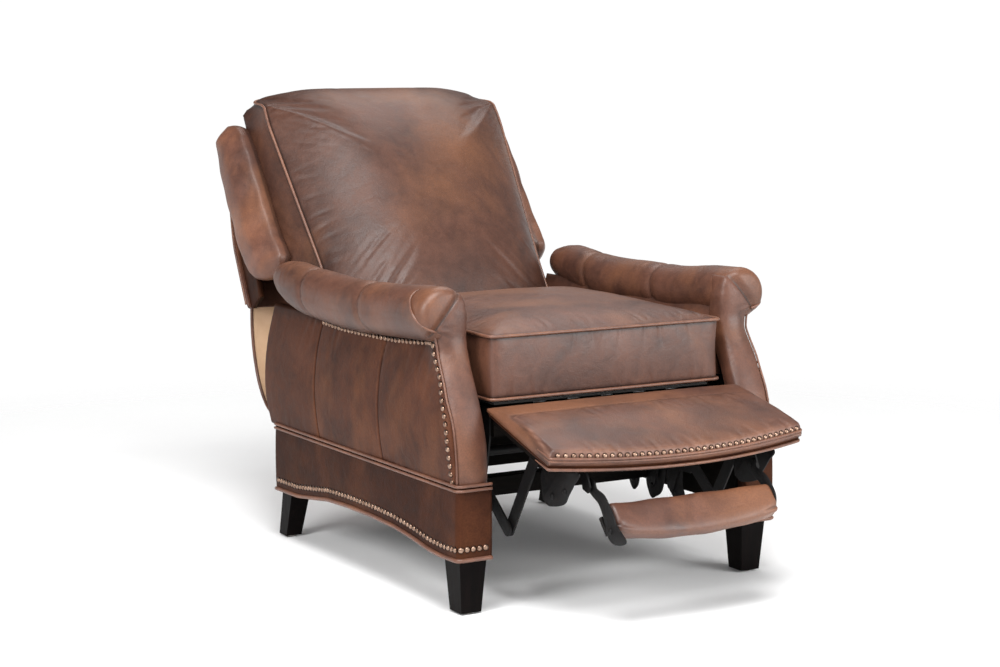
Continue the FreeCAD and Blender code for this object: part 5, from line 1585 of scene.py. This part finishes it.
def paint_frame():
    legs = [f"{end}_leg_{side}" for end in ("front", "rear") for side, _ in SIDES]
    paint(legs, ESPRESSO)
    bevel(legs, 0.0016)
    timber = ["corner_blocks", "side_rails", "cross_rail", "rear_rail", "arm_core_left", "arm_core_right",
              "seat_side_rails", "seat_front_rail", "seat_rear_rail", "back_posts", "back_top_rail",
              "back_bottom_rail", "footrest_board"]
    paint(timber, FRAME_WOOD)
    bevel(timber, 0.0012)
    steel = ["slide_tracks", "back_pivot_brackets", "linkage_plate_left", "linkage_plate_right",
             "back_hinge_plate_left", "back_hinge_plate_right", "drive_link_left", "drive_link_right",
             "torque_tube", "lift_link_left", "lift_link_right", "board_brackets", "pad_brackets", "pad_bar"]
    paint(steel, STEEL)
    paint(["seat_springs"], WIRE)
    paint(["seat_deck"], DECK)
    paint(["back_webbing"], JUTE)
    paint(["leg_glides"], GLIDE)


# ------------------------------------------------------------------ room

def make_stage():
    """A white floor fading into a white surround, which is dimmer overhead and brightest in front."""
    floor = bpy.data.meshes.new("floor")
    floor.from_pydata([(-9, -9, 0), (9, -9, 0), (9, 9, 0), (-9, 9, 0)], [], [(0, 1, 2, 3)])
    thing = place_object("floor", floor)
    n = Nodes(bpy.data.materials.new("floor_pale"))
    dust = n.noise(3.0, 3.0, 0.5)
    away = n.add("ShaderNodeVectorMath", operation="LENGTH")
    n.link(n.place, away.inputs[0])
    n.fill(n.shader.inputs["Alpha"], n.band(away.outputs["Value"], 1.0, 2.8, 1.0, 0.0))
    floor.materials.append(n.finish(n.mix(n.band(dust, 0.3, 0.7), (0.95, 0.95, 0.95), (0.97, 0.97, 0.97)),
                                    0.9,
                                    Specular_IOR_Level=0.0))
    world = bpy.context.scene.world or bpy.data.worlds.new("studio")
    bpy.context.scene.world = world
    n = Nodes(world, "Background", "Generated")
    height = n.add("ShaderNodeSeparateXYZ")
    n.link(n.place, height.inputs[0])
    front = n.add("ShaderNodeVectorMath", operation="DOT_PRODUCT")
    n.link(n.place, front.inputs[0])
    front.inputs[1].default_value = (0.37, -0.83, 0.42)
    dome = n.band(front.outputs["Value"], 0.0, 0.95, 0.18, 0.62)
    low = n.band(height.outputs["Z"], 0.14, 0.26, 1.0, 0.0)
    level = n.math("ADD", n.math("MULTIPLY", low, n.math("SUBTRACT", 1.02, dome)), dome)
    n.link(level, n.shader.inputs["Strength"])
    n.shader.inputs["Color"].default_value = (1.0, 1.0, 1.0, 1.0)
    bpy.context.scene.view_settings.view_transform = "Standard"


def softbox(name, place, aim, width, height, power):
    lamp = bpy.data.lights.new(name, "AREA")
    lamp.shape, lamp.size, lamp.size_y, lamp.energy = "RECTANGLE", width, height, power
    thing = place_object(name, lamp)
    thing.location = place
    thing.rotation_mode = "QUATERNION"
    thing.rotation_quaternion = (Vector(aim) - Vector(place)).to_track_quat("-Z", "Y")


def make_camera():
    lens = bpy.data.cameras.new("camera")
    lens.lens, lens.sensor_width = 77.55, 36.0
    thing = place_object("camera", lens)
    azimuth, height, distance = math.radians(-30.8396), math.radians(7.5995), 4.68785
    back = Vector((math.sin(azimuth) * math.cos(height), -math.cos(azimuth) * math.cos(height),
                   math.sin(height)))
    thing.location = Vector((0.0, 0.4604 + LEGS_FRONT, 0.4760)) + back * distance
    thing.rotation_mode = "QUATERNION"
    thing.rotation_quaternion = (-back).to_track_quat("-Z", "Y")
    bpy.context.scene.camera = thing


make_camera()
for which, sign in SIDES:
    make_skirt(which, sign)
make_skirt_nails()
make_apron()
make_arms()
make_seat_cushion()
make_back_cushion()
for which, sign in SIDES:
    wing_shape = wing() if sign > 0 else wing().mirrored()
    pillow = fix_normals(wing_shape.make(f"wing_leather_{which}", HIDE_WING_LIT, "back", [f"wing_{which}"]))
make_shell()
make_flap()
make_board()
make_pad()
make_linkage_plates()
paint_frame()
make_stage()
softbox("key", (1.9, -3.4, 1.2), (0, 0, 0.5), 1.8, 1.3, 88)
softbox("front", (-0.9, -1.7, 3.1), (0, 0.1, 0.6), 1.5, 1.1, 120)
softbox("left", (-3.0, -1.3, 2.0), (0, 0.2, 0.7), 1.3, 1.0, 80)
softbox("top", (1.0, 1.2, 2.9), (0, 0, 0.4), 1.6, 1.6, 26)
